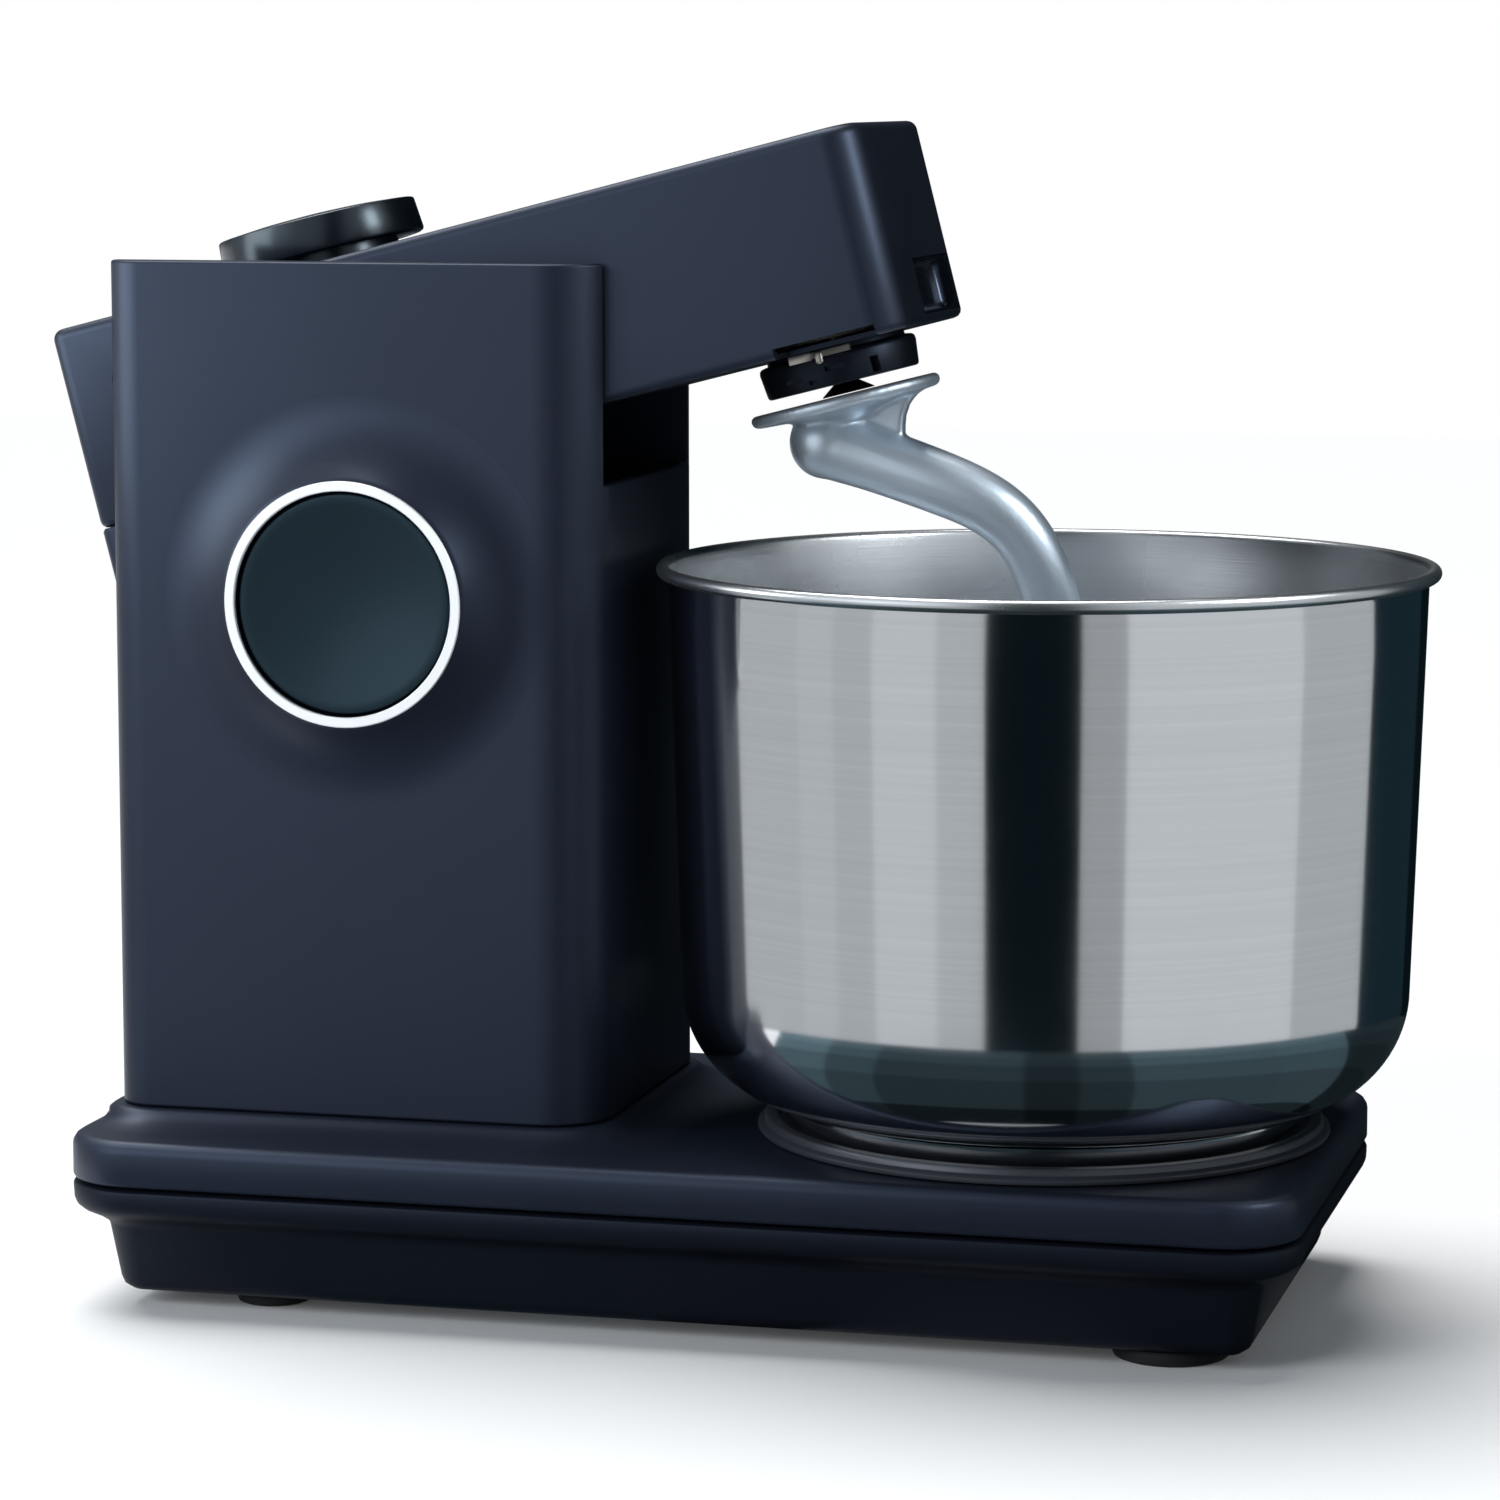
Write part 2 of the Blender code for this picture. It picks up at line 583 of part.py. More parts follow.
def leg_loop(z, x0, x1, half, inset=0.0):
    """One level section of the leg."""
    corner = max(ARM_REAR_CORNER - inset, 0.0015)
    outline = rounded_outline(x0 + inset, x1 - inset, -half + inset, half - inset, (corner,) * 4, steps=2)
    return level(outline, z)


def build_arm_leg(arm):
    """Hollow leg below the arm's tail; it hangs between the cheeks and turns on the shaft."""
    sections = ((LEG_BOTTOM, -0.018, 0.018, LEG_NARROW), (LEG_BOTTOM + 0.014, -0.030, 0.030, LEG_NARROW),
                (LEG_SHOULDER - 0.025, ARM_REAR + 0.004, 0.052, LEG_NARROW),
                (LEG_SHOULDER, ARM_REAR, LEG_FRONT - 0.002, ARM_HALF_WIDTH),
                (ARM_SEAM - GAP, ARM_REAR, LEG_FRONT, ARM_HALF_WIDTH))
    outer = [leg_loop(*row) for row in sections]
    inner = [leg_loop(*row, inset=LEG_WALL) for row in sections]
    inner[0] = leg_loop(LEG_BOTTOM + LEG_WALL, -0.018, 0.018, LEG_NARROW, LEG_WALL)
    bm = pot(outer[::-1], inner)
    leg = finish("arm_leg", bm, BLACK, arm)
    bore = finish("leg_bore", disc(BUSH_R + GAP, -0.06, 0.06, segments=24), BLACK, arm,
                  rotation=(math.radians(90), 0, 0))
    join_boolean(leg, bore, "DIFFERENCE")


def build_leg_bushes(arm):
    """Plain bushes in the leg's walls that run on the hinge shaft."""
    for name, side in (("leg_bush_right", 1), ("leg_bush_left", -1)):
        wall = LEG_NARROW
        profile = [(SHAFT_R + FIT, wall - LEG_WALL - 0.004), (BUSH_R, wall - LEG_WALL - 0.004),
                   (BUSH_R, wall), (SHAFT_R + FIT, wall)]
        finish(name, turned(profile, 24, closed=True), NYLON, arm, rotation=(math.radians(90 * side), 0, 0))


def build_grip_liner(arm):
    """Cup that lines the finger recess under the nose, open to the front."""
    low = ARM_SEAM
    liner = finish("grip_liner", block(ARM_FRONT - GRIP_DEPTH - GRIP_WALL, ARM_FRONT - 0.0004, GRIP_Y0,
                                       GRIP_Y1, low, GRIP_TOP), DARK, arm)
    hollow = finish("grip_hollow", block(ARM_FRONT - GRIP_DEPTH, ARM_FRONT + 0.01, GRIP_Y0 + GRIP_WALL,
                                         GRIP_Y1 - GRIP_WALL, low + 0.0012, GRIP_TOP - GRIP_WALL), DARK, arm)
    join_boolean(liner, hollow, "DIFFERENCE")


def build_motor(arm, motor):
    """Upright motor in the leg, its mounting plate and the rotor with the small pulley."""
    can = [(0, MOTOR_BOTTOM), (0.018, MOTOR_BOTTOM), (0.022, MOTOR_BOTTOM + 0.008), (MOTOR_R, MOTOR_BOTTOM + 0.011),
           (MOTOR_R, MOTOR_TOP - 0.010), (0.022, MOTOR_TOP - 0.006), (0.010, MOTOR_TOP),
           (MOTOR_SHAFT_R + RUN, MOTOR_TOP), (MOTOR_SHAFT_R + RUN, MOTOR_BOTTOM + 0.010),
           (0, MOTOR_BOTTOM + 0.010)]
    finish("motor_body", turned(can, 28), PLATED, arm, location=(MOTOR_X, 0, 0))
    plate_z = MOTOR_TOP + GAP
    half = ARM_HALF_WIDTH - LEG_WALL - GAP
    outline = rounded_outline(ARM_REAR + LEG_WALL + GAP, LEG_FRONT - LEG_WALL - 0.0012, -half, half,
                              (0.0025,) * 4, steps=2)
    plate = finish("motor_plate", loft([level(outline, plate_z), level(outline, plate_z + 0.0020)]), PLATED, arm)
    pass_through = finish("motor_plate_hole", disc(MOTOR_SHAFT_R + 0.004, MOTOR_TOP - 0.02, MOTOR_TOP + 0.02,
                                                   segments=20), PLATED, arm, location=(MOTOR_X, 0, 0))
    join_boolean(plate, pass_through, "DIFFERENCE")
    low, high = pulley_span()
    rotor = [(0, MOTOR_BOTTOM + 0.012), (MOTOR_SHAFT_R, MOTOR_BOTTOM + 0.012), (MOTOR_SHAFT_R, low - 0.001),
             (PULLEY_SMALL_R + 0.001, low - 0.001), (PULLEY_SMALL_R + 0.001, low), (PULLEY_SMALL_R, low),
             (PULLEY_SMALL_R, high), (PULLEY_SMALL_R + 0.001, high), (PULLEY_SMALL_R + 0.001, high + 0.001),
             (0, high + 0.001)]
    finish("motor_rotor", turned(rotor, 24), PLATED, motor)


def pulley_span():
    """Lowest and highest level of both belt pulleys."""
    low = ARM_SEAM + GEAR_HEIGHT + BEARING_HEIGHT + 0.004
    return low, low + PULLEY_HEIGHT


def belt_loop(z, offset):
    """Outline round both pulleys at a given distance from them."""
    distance = HUB_X - MOTOR_X
    lean = math.asin((PULLEY_LARGE_R - PULLEY_SMALL_R) / distance)
    points = []
    steps = 14
    for k in range(steps + 1):
        angle = -(math.pi / 2 + lean) + (math.pi + 2 * lean) * k / steps
        radius = PULLEY_LARGE_R + offset
        points.append((HUB_X + radius * math.cos(angle), radius * math.sin(angle), z))
    for k in range(steps + 1):
        angle = (math.pi / 2 + lean) + (math.pi - 2 * lean) * k / steps
        radius = PULLEY_SMALL_R + offset
        points.append((MOTOR_X + radius * math.cos(angle), radius * math.sin(angle), z))
    return points


def build_belt(arm):
    """Flat belt from the motor to the hub."""
    low, high = pulley_span()
    low += 0.0008
    high -= 0.0008
    loops = [belt_loop(low, GAP), belt_loop(low, GAP + BELT), belt_loop(high, GAP + BELT), belt_loop(high, GAP)]
    bm = bmesh.new()
    rows = [[bm.verts.new(point) for point in loop] for loop in loops]
    count = len(rows[0])
    for a in range(4):
        one, two = rows[a], rows[(a + 1) % 4]
        for i in range(count):
            j = (i + 1) % count
            bm.faces.new((one[i], one[j], two[j], two[i]))
    finish("drive_belt", bm, RUBBER, arm)


def gear_outline(teeth, tip, root, start, thin=0.42):
    """Straight-flanked teeth; the first tooth is centred on the angle start."""
    points = []
    pitch = math.tau / teeth
    for number in range(teeth):
        centre = start + number * pitch
        for share, radius in ((-0.5 * thin - 0.07, root), (-0.5 * thin + 0.07, tip),
                              (0.5 * thin - 0.07, tip), (0.5 * thin + 0.07, root)):
            angle = centre + share * pitch
            points.append((radius * math.cos(angle), radius * math.sin(angle)))
    return points


def build_ring_gear(arm):
    """Fixed internal gear round the hub's neck, inside the arm."""
    pitch_r = TOOTH * RING_TEETH / 2
    start = PLANET_ANGLE + math.pi / RING_TEETH
    teeth = gear_outline(RING_TEETH, pitch_r - 0.8 * TOOTH, pitch_r + 1.2 * TOOTH, start)
    rim = [(pitch_r + 0.0042) / math.hypot(x, y) for x, y in teeth]
    outside = [(x * k, y * k) for (x, y), k in zip(teeth, rim)]
    low = ARM_SEAM + GAP
    high = low + GEAR_HEIGHT
    bm = bmesh.new()
    rows = [[bm.verts.new(point) for point in level(*row)] for row in
            ((teeth, low), (outside, low), (outside, high), (teeth, high))]
    count = len(teeth)
    for a in range(4):
        one, two = rows[a], rows[(a + 1) % 4]
        for i in range(count):
            j = (i + 1) % count
            bm.faces.new((one[i], one[j], two[j], two[i]))
    finish("ring_gear", bm, NYLON, arm, location=(HUB_X, 0, 0))


def build_hub_bearing(arm):
    """Bearing block above the ring gear that holds the hub's shaft."""
    low = ARM_SEAM + GEAR_HEIGHT + 0.0012
    profile = [(CARRIER_SHAFT_R + FIT, low), (0.012, low), (0.0207, low), (0.0207, low + 0.0030),
               (0.012, low + 0.0040), (0.012, low + BEARING_HEIGHT), (CARRIER_SHAFT_R + FIT, low + BEARING_HEIGHT)]
    finish("hub_bearing", turned(profile, 32, closed=True), PLATED, arm, location=(HUB_X, 0, 0))


def build_carrier(carrier):
    """Planet carrier: the visible hub, its shaft and pulley, and the tool clip."""
    shoulder = HUB_BOTTOM + HUB_HEIGHT
    top = ARM_SEAM - 0.0006
    hub = [(0, HUB_BOTTOM), (HUB_R - 0.0012, HUB_BOTTOM), (HUB_R, HUB_BOTTOM + 0.0012), (HUB_R, shoulder - 0.0020),
           (HUB_R - 0.0012, shoulder), (HUB_NECK_R, shoulder), (HUB_NECK_R, top), (0, top)]
    body = finish("hub_housing", turned(hub, 40), BLACK, carrier)
    hole = finish("spindle_hole", disc(SPINDLE_R + RUN, HUB_BOTTOM - 0.01, top + 0.01, segments=20), BLACK, carrier,
                  location=(SPINDLE_X - HUB_X, SPINDLE_Y, 0))
    join_boolean(body, hole, "DIFFERENCE")
    low, high = pulley_span()
    shaft = [(0, top + GAP), (CARRIER_SHAFT_R, top + GAP), (CARRIER_SHAFT_R, high + 0.004), (0, high + 0.004)]
    finish("carrier_shaft", turned(shaft, 20), PLATED, carrier)
    bore = CARRIER_SHAFT_R + GAP
    pulley = [(bore, low - 0.0010), (PULLEY_LARGE_R + 0.001, low - 0.0010), (PULLEY_LARGE_R + 0.001, low),
              (PULLEY_LARGE_R, low), (PULLEY_LARGE_R, high), (PULLEY_LARGE_R + 0.001, high),
              (PULLEY_LARGE_R + 0.001, high + 0.001), (bore, high + 0.001)]
    finish("hub_pulley", turned(pulley, 40, closed=True), NYLON, carrier)
    build_tool_clip(carrier, shoulder)


def build_tool_clip(carrier, shoulder):
    """Plated latch strip and its screw on the near side of the hub."""
    y = -HUB_NECK_R - 0.0012
    finish("tool_clip", block(-0.0085, 0.0085, y - 0.0030, y, shoulder + GAP, shoulder + 0.0021, 0.0003),
           PLATED, carrier)
    finish("tool_clip_screw", disc(0.0009, 0, 0.0010, 0.0002, 12), PLATED, carrier,
           location=(0.0005, y - 0.0030 - GAP, shoulder + 0.0012), rotation=(math.radians(90), 0, 0))


def build_spindle(spindle):
    """Tool spindle with its planet gear; a dark cone collar shows below the hub."""
    gear_low = ARM_SEAM + GAP
    rod = [(0, HOOK_PLATE_TOP + GAP), (0.0088, HOOK_PLATE_TOP + GAP), (0.0060, HUB_BOTTOM - RUN),
           (SPINDLE_R, HUB_BOTTOM - RUN), (SPINDLE_R, gear_low + GEAR_HEIGHT), (0, gear_low + GEAR_HEIGHT)]
    finish("tool_spindle", turned(rod, 24), DARK, spindle)
    pitch_r = TOOTH * PLANET_TEETH / 2
    teeth = gear_outline(PLANET_TEETH, pitch_r + 0.8 * TOOTH, pitch_r - 1.1 * TOOTH, PLANET_ANGLE)
    shrink = [(SPINDLE_R + GAP) / math.hypot(x, y) for x, y in teeth]
    bore = [(x * k, y * k) for (x, y), k in zip(teeth, shrink)]
    bm = bmesh.new()
    rows = [[bm.verts.new(point) for point in level(*row)] for row in
            ((teeth, gear_low), (bore, gear_low), (bore, gear_low + GEAR_HEIGHT), (teeth, gear_low + GEAR_HEIGHT))]
    count = len(teeth)
    for a in range(4):
        one, two = rows[a], rows[(a + 1) % 4]
        for i in range(count):
            j = (i + 1) % count
            bm.faces.new((one[i], one[j], two[j], two[i]))
    finish("planet_gear", bm, NYLON, spindle)


def hook_path():
    """Centre line of the hook's rod about the spindle: out to the reach, down, then in below."""
    start = Vector((-0.0120, 0.0, HOOK_PLATE_TOP - 0.0125))
    control = [start, Vector((0.0020, -0.001, 0.0958)), Vector((0.0150, -0.001, 0.0880)),
               Vector((0.0345, 0.001, 0.0745)), Vector((0.0440, 0.003, 0.0620)),
               Vector((HOOK_REACH, 0.006, 0.0480)), Vector((0.0450, 0.012, 0.0280)),
               Vector((0.0370, 0.020, 0.0020)), Vector((0.0230, 0.026, -0.0200)),
               Vector((0.0040, 0.026, -0.0360)), Vector((-0.0140, 0.018, HOOK_BOTTOM)),
               Vector((-0.0260, 0.002, -0.0400))]
    points = []
    for k in range(1, len(control) - 2):
        a, b, c, d = control[k - 1:k + 3]
        for s in range(3):
            t = s / 3
            points.append(0.5 * ((2 * b) + (c - a) * t + (2 * a - 5 * b + 4 * c - d) * t * t
                                 + (3 * b - a - 3 * c + d) * t ** 3))
    return [start, (start + points[0]) / 2] + points + [control[-2], control[-1]]


def tube(points, radius, sides=12, taper=()):
    """A tube along points with rounded ends; taper lists radius shares for the last rings."""
    loops = []
    normal = Vector((0, 1, 0))
    last = len(points) - 1
    for k, point in enumerate(points):
        ahead = (points[min(k + 1, last)] - points[max(k - 1, 0)]).normalized()
        normal = (normal - ahead * normal.dot(ahead)).normalized()
        cross = ahead.cross(normal)
        share = 1.0
        if last - k < len(taper):
            share = taper[last - k]
        loops.append([point + radius * share * (normal * math.cos(math.tau * s / sides)
                                                + cross * math.sin(math.tau * s / sides)) for s in range(sides)])
    return loft(loops)


def build_hook(spindle):
    """Cast dough hook: guard plate, web and spiral rod, one casting."""
    under = HOOK_PLATE_TOP - HOOK_PLATE_EDGE
    plate = [(0, HOOK_PLATE_TOP), (HOOK_PLATE_R - 0.0010, HOOK_PLATE_TOP), (HOOK_PLATE_R, HOOK_PLATE_TOP - 0.0010),
             (HOOK_PLATE_R, under), (HOOK_PLATE_R - 0.0020, under - 0.0008), (0.0150, under - 0.0030),
             (0.0100, under - 0.0070), (0, under - 0.0080)]
    hook = finish("dough_hook", turned(plate[::-1], 40), CAST, spindle)
    rod = finish("hook_rod", tube(hook_path(), HOOK_ROD_R, 12, (0.55, 0.9)), CAST, spindle)
    join_boolean(hook, rod, "UNION")
    bm = bmesh.new()
    outline = [(0.0270, under + 0.001), (0.0180, under - 0.0080), (0.0150, under - 0.0160),
               (0.0150, under - 0.0270), (0.0010, under - 0.0200), (-0.0080, under - 0.0080), (-0.0100, under + 0.001)]
    face = bm.faces.new([bm.verts.new((x, -0.0026, z)) for x, z in outline])
    grown = bmesh.ops.extrude_face_region(bm, geom=[face])
    moved = [item for item in grown["geom"] if isinstance(item, bmesh.types.BMVert)]
    bmesh.ops.translate(bm, vec=(0, 0.0052, 0), verts=moved)
    web = finish("hook_web", bm, CAST, spindle)
    join_boolean(hook, web, "UNION")


def build_dial(arm, dial):
    """Speed dial: a broad low knob on a narrower neck, its shaft and the switch below."""
    low = ARM_TOP + DIAL_LIFT
    high = low + DIAL_HEIGHT
    knob = [(0, ARM_TOP + GAP), (DIAL_NECK_R, ARM_TOP + GAP), (DIAL_NECK_R, low), (DIAL_R, low),
            (DIAL_R + 0.0004, low + 0.0006), (DIAL_R - 0.0004, high - 0.0008), (DIAL_R - 0.0012, high),
            (DIAL_R * 0.7, high + 0.0010), (DIAL_R * 0.35, high + 0.0017), (0, high + 0.0019)]
    finish("control_dial", turned(knob, 48), BLACK, dial)
    finish("dial_shaft", disc(DIAL_SHAFT_R, ARM_TOP - 0.0120, ARM_TOP, segments=16), PLATED, dial)
    finish("speed_switch", block(DIAL_X - 0.014, DIAL_X + 0.014, -0.014, 0.014, ARM_TOP - 0.0260,
                                 ARM_TOP - 0.0120 - GAP, 0.001), DARK, arm)


def build_electronics(arm):
    """Control board and filter capacitor inside the arm."""
    finish("control_board", block(0.050, 0.115, -0.030, 0.030, ARM_TOP - 0.0120, ARM_TOP - 0.0104), BOARD, arm)
    finish("filter_capacitor", block(0.060, 0.086, -0.010, 0.004, ARM_TOP - 0.0180, ARM_TOP - 0.0120 - GAP, 0.001),
           NYLON, arm)


# ---------------------------------------------------------------- bowl
def bowl_profile():
    """Outer points from floor centre to rim, then back down the inside."""
    steps = 7
    centre_r = BOWL_LOW_R - BOWL_CURVE
    centre_z = BOWL_FLOOR + BOWL_CURVE
    outer = [(0, BOWL_FLOOR)]
    inner = [(0, BOWL_FLOOR + BOWL_SHEET)]
    for k in range(steps + 1):
        angle = -math.pi / 2 + math.pi / 2 * k / steps
        outer.append((centre_r + BOWL_CURVE * math.cos(angle), centre_z + BOWL_CURVE * math.sin(angle)))
        thin = BOWL_CURVE - BOWL_SHEET
        inner.append((centre_r + thin * math.cos(angle), centre_z + thin * math.sin(angle)))
    bead = (BOWL_RIM_R - BOWL_TOP_R) / 2 + 0.0004
    outer += [(BOWL_TOP_R, BOWL_RIM_Z - 2.4 * bead), (BOWL_RIM_R - 0.0006, BOWL_RIM_Z - 1.7 * bead),
              (BOWL_RIM_R, BOWL_RIM_Z - bead), (BOWL_RIM_R - 0.0012, BOWL_RIM_Z - 0.0004)]
    inner += [(BOWL_TOP_R - BOWL_SHEET, BOWL_RIM_Z - 2.4 * bead), (BOWL_TOP_R - BOWL_SHEET + 0.0006, BOWL_RIM_Z - 0.0012),
              (BOWL_TOP_R + 0.0008, BOWL_RIM_Z)]
    return outer + inner[::-1]


def build_bowl(bowl):
    """Pressed steel bowl with a rolled rim, and the foot ring under it."""
    finish("mixing_bowl", turned(bowl_profile(), 60), STEEL, bowl, sharp=40)
    low = BASE_TOP + SEAT_LIP + 2 * GAP
    high = BOWL_FLOOR - GAP
    ring_inner = FOOT_RING_R - 0.0042
    profile = [(ring_inner, low), (FOOT_RING_R - 0.0010, low), (FOOT_RING_R, low + 0.0010),
               (FOOT_RING_R, high - 0.0012), (FOOT_RING_R - 0.0008, high), (ring_inner, high)]
    finish("bowl_foot_ring", turned(profile, 56, closed=True), STEEL, bowl)


# ---------------------------------------------------------------- assembly
def main():
    """Builds every piece; the arm's pieces hang on guides at their joints."""
    pivot = Vector((PIVOT_X, 0, PIVOT_Z))
    arm = empty("arm_hinge_guide", pivot, TILT)
    dial = empty("dial_guide", pivot + TILT @ Vector((DIAL_X, 0, 0)), TILT)
    motor = empty("motor_guide", pivot + TILT @ Vector((MOTOR_X, 0, 0)), TILT)
    carrier = empty("hub_guide", pivot + TILT @ Vector((HUB_X, 0, 0)), TILT)
    spindle = empty("spindle_guide", pivot + TILT @ Vector((SPINDLE_X, SPINDLE_Y, 0)), TILT)
    bowl = empty("bowl_guide", (BOWL_X, 0, 0))
    build_base_top_shell()
    build_base_bottom_tray()
    build_feet()
    build_base_screws()
    build_seat_ring()
    build_cheek("tower_cheek_right", -1)
    build_cheek("tower_cheek_left", 1)
    build_tower_panels()
    build_hinge_brackets()
    build_hinge_shaft()
    build_lift_spring()
    build_release()
    build_cable_gland()
    build_arm_upper_shell(arm)
    build_arm_lower_cover(arm)
    build_arm_leg(arm)
    build_leg_bushes(arm)
    build_grip_liner(arm)
    build_motor(arm, motor)
    build_belt(arm)
    build_ring_gear(arm)
    build_hub_bearing(arm)
    build_carrier(carrier)
    build_spindle(spindle)
    build_hook(spindle)
    build_dial(arm, dial)
    build_electronics(arm)
    build_bowl(bowl)


main()
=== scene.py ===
"""Looks of the tilt-head stand mixer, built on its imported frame. Metres, +X forward, +Z up."""
import math

import bpy
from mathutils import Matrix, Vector


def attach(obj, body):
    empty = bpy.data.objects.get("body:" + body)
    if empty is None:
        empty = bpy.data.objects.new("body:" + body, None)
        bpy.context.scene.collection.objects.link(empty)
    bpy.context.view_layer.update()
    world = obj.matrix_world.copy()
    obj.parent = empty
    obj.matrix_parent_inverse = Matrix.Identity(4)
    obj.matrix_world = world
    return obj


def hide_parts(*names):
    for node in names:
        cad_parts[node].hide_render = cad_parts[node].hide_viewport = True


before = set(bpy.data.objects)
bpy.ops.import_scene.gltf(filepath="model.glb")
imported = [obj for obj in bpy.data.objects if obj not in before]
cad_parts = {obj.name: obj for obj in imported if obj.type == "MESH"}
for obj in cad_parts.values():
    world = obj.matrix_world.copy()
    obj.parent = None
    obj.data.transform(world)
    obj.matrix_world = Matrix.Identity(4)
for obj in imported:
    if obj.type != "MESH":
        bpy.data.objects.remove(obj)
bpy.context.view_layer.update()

# ------------------------------------------------------------------ camera, floor and light
# A long lens from the mixer's front right, a little above the bowl. A white sweep of paper
# carries the mixer. A wide silk lights it from above, and curved cards stand round the bowl.
bpy.ops.object.select_all(action="DESELECT")
bpy.ops.object.camera_add(location=(0.3953, -1.5508, 0.3819),
                          rotation=(math.radians(82.54), 0, math.radians(14.3)))
camera = bpy.context.object
camera.name = "studio_camera"
camera.data.lens = 122.1
camera.data.sensor_width = 36
bpy.context.scene.camera = camera


def fresh_material(name):
    """A new material and its Principled shader."""
    made = bpy.data.materials.new(name)
    made.use_nodes = True
    return made, made.node_tree.nodes["Principled BSDF"]


bpy.ops.mesh.primitive_plane_add(size=8, location=(0, 0, 0))
floor = bpy.context.object
floor.name = "paper_floor"
paper, shader = fresh_material("white_paper")
shader.inputs["Base Color"].default_value = (0.93, 0.93, 0.93, 1)
shader.inputs["Roughness"].default_value = 0.7
shader.inputs["Emission Color"].default_value = (1, 1, 1, 1)
shader.inputs["Emission Strength"].default_value = 0.04
floor.data.materials.append(paper)

bpy.context.scene.view_settings.view_transform = "Standard"

# The studio's walls show white straight on, and stay dim in reflections.
world = bpy.data.worlds.new("studio_air")
world.use_nodes = True
air = world.node_tree
dim = air.nodes["Background"]
dim.inputs["Color"].default_value = (0.80, 0.90, 1.0, 1)
dim.inputs["Strength"].default_value = 0.16
white = air.nodes.new("ShaderNodeBackground")
white.inputs["Color"].default_value = (1, 1, 1, 1)
white.inputs["Strength"].default_value = 1.0
seen = air.nodes.new("ShaderNodeLightPath")
choice = air.nodes.new("ShaderNodeMixShader")
air.links.new(seen.outputs["Is Camera Ray"], choice.inputs["Fac"])
air.links.new(dim.outputs["Background"], choice.inputs[1])
air.links.new(white.outputs["Background"], choice.inputs[2])
air.links.new(choice.outputs["Shader"], air.nodes["World Output"].inputs["Surface"])
bpy.context.scene.world = world

bpy.ops.object.light_add(type="SUN", location=(0, 0, 2),
                         rotation=(math.radians(-14), math.radians(-16), 0))
overhead = bpy.context.object
overhead.name = "overhead_silk"
overhead.data.energy = 3.1
overhead.data.angle = math.radians(48)

bpy.ops.object.light_add(type="AREA", location=(-1.1, -1.3, 0.75),
                         rotation=Vector((-1.1, -1.3, 0.55)).to_track_quat("Z", "Y").to_euler())
side_box = bpy.context.object
side_box.name = "side_softbox"
side_box.data.size = 0.9
side_box.data.energy = 16
side_box.data.color = (0.90, 0.95, 1.0)


BOWL_X = 0.0955
CARD_REACH, CARD_TOP = 0.46, 1.3
PALE, DUSK, FLOOR_BLUE = (0.92, 0.97, 1.0), (0.30, 0.75, 1.0), (0.52, 0.85, 1.0)


def linked(name, data):
    """A new object for a mesh or a curve, put in the scene."""
    piece = bpy.data.objects.new(name, data)
    bpy.context.collection.objects.link(piece)
    return piece


def card(name, start, end, glow, inner=(CARD_REACH, 0.0), outer=(CARD_REACH, CARD_TOP), tint=PALE):
    """A curved card round the bowl between two (reach, height) edges; only gloss sees it."""
    points = []
    steps = 8
    for reach, z in (inner, outer):
        for k in range(steps + 1):
            angle = math.radians(start + (end - start) * k / steps)
            points.append((BOWL_X + reach * math.cos(angle), reach * math.sin(angle), z))
    faces = [(k, k + 1, steps + 2 + k, steps + 1 + k) for k in range(steps)]
    mesh = bpy.data.meshes.new(name)
    mesh.from_pydata(points, [], faces)
    piece = linked(name, mesh)
    glowing, shader = fresh_material(name)
    shader.inputs["Base Color"].default_value = (0, 0, 0, 1)
    shader.inputs["Specular IOR Level"].default_value = 0.0
    shader.inputs["Emission Color"].default_value = (*tint, 1)
    shader.inputs["Emission Strength"].default_value = glow
    mesh.materials.append(glowing)
    piece.visible_camera = False
    piece.visible_diffuse = False
    piece.visible_shadow = False
    piece.visible_transmission = False
    piece.visible_volume_scatter = False


for number, (start, end, glow, tint) in enumerate((
        (-182, -150, 0.58, PALE), (-150, -138, 0.62, PALE), (-138, -126, 0.56, PALE),
        (-126, -108, 0.70, PALE), (-108, -95, 0.58, PALE), (-95, -70, 0.010, DUSK),
        (-70, -58, 0.44, PALE), (-58, -34, 0.72, PALE), (-34, -6, 0.72, PALE),
        (-6, 24, 0.54, PALE), (24, 60, 0.030, DUSK), (60, 132, 0.008, DUSK))):
    card(f"reflector_{number + 1}", start, end, glow, tint=tint)
# Flat glossy-only cards lie on the floor round the bowl, far dimmer than the lit paper and dimmest next to
# the base: painted shade of the floor, seen only in reflections on the bowl and housing.
LIFT = 0.001
for start, end, glow in ((-160, -140, 0.25), (-140, -124, 0.14), (-124, -84, 0.085), (-84, -70, 0.045),
                         (-70, -56, 0.08), (-56, -12, 0.15), (-12, 18, 0.16), (18, 120, 0.035)):
    for outer, inner, share in ((CARD_REACH, 0.38, 1.0), (0.38, 0.30, 0.85), (0.30, 0.21, 0.62),
                                (0.21, 0.13, 0.45), (0.13, 0.096, 0.15)):
        card(f"floor_shade_card_{start}_{outer}", start, end, glow * share, (inner, LIFT), (outer, LIFT),
             FLOOR_BLUE)
card("dial_strip_right", -24, -3, 15.0, (0.44, 0.42), (0.44, 0.70))
card("dial_strip_left", -170, -152, 5.0, (0.44, 0.25), (0.44, 0.40))


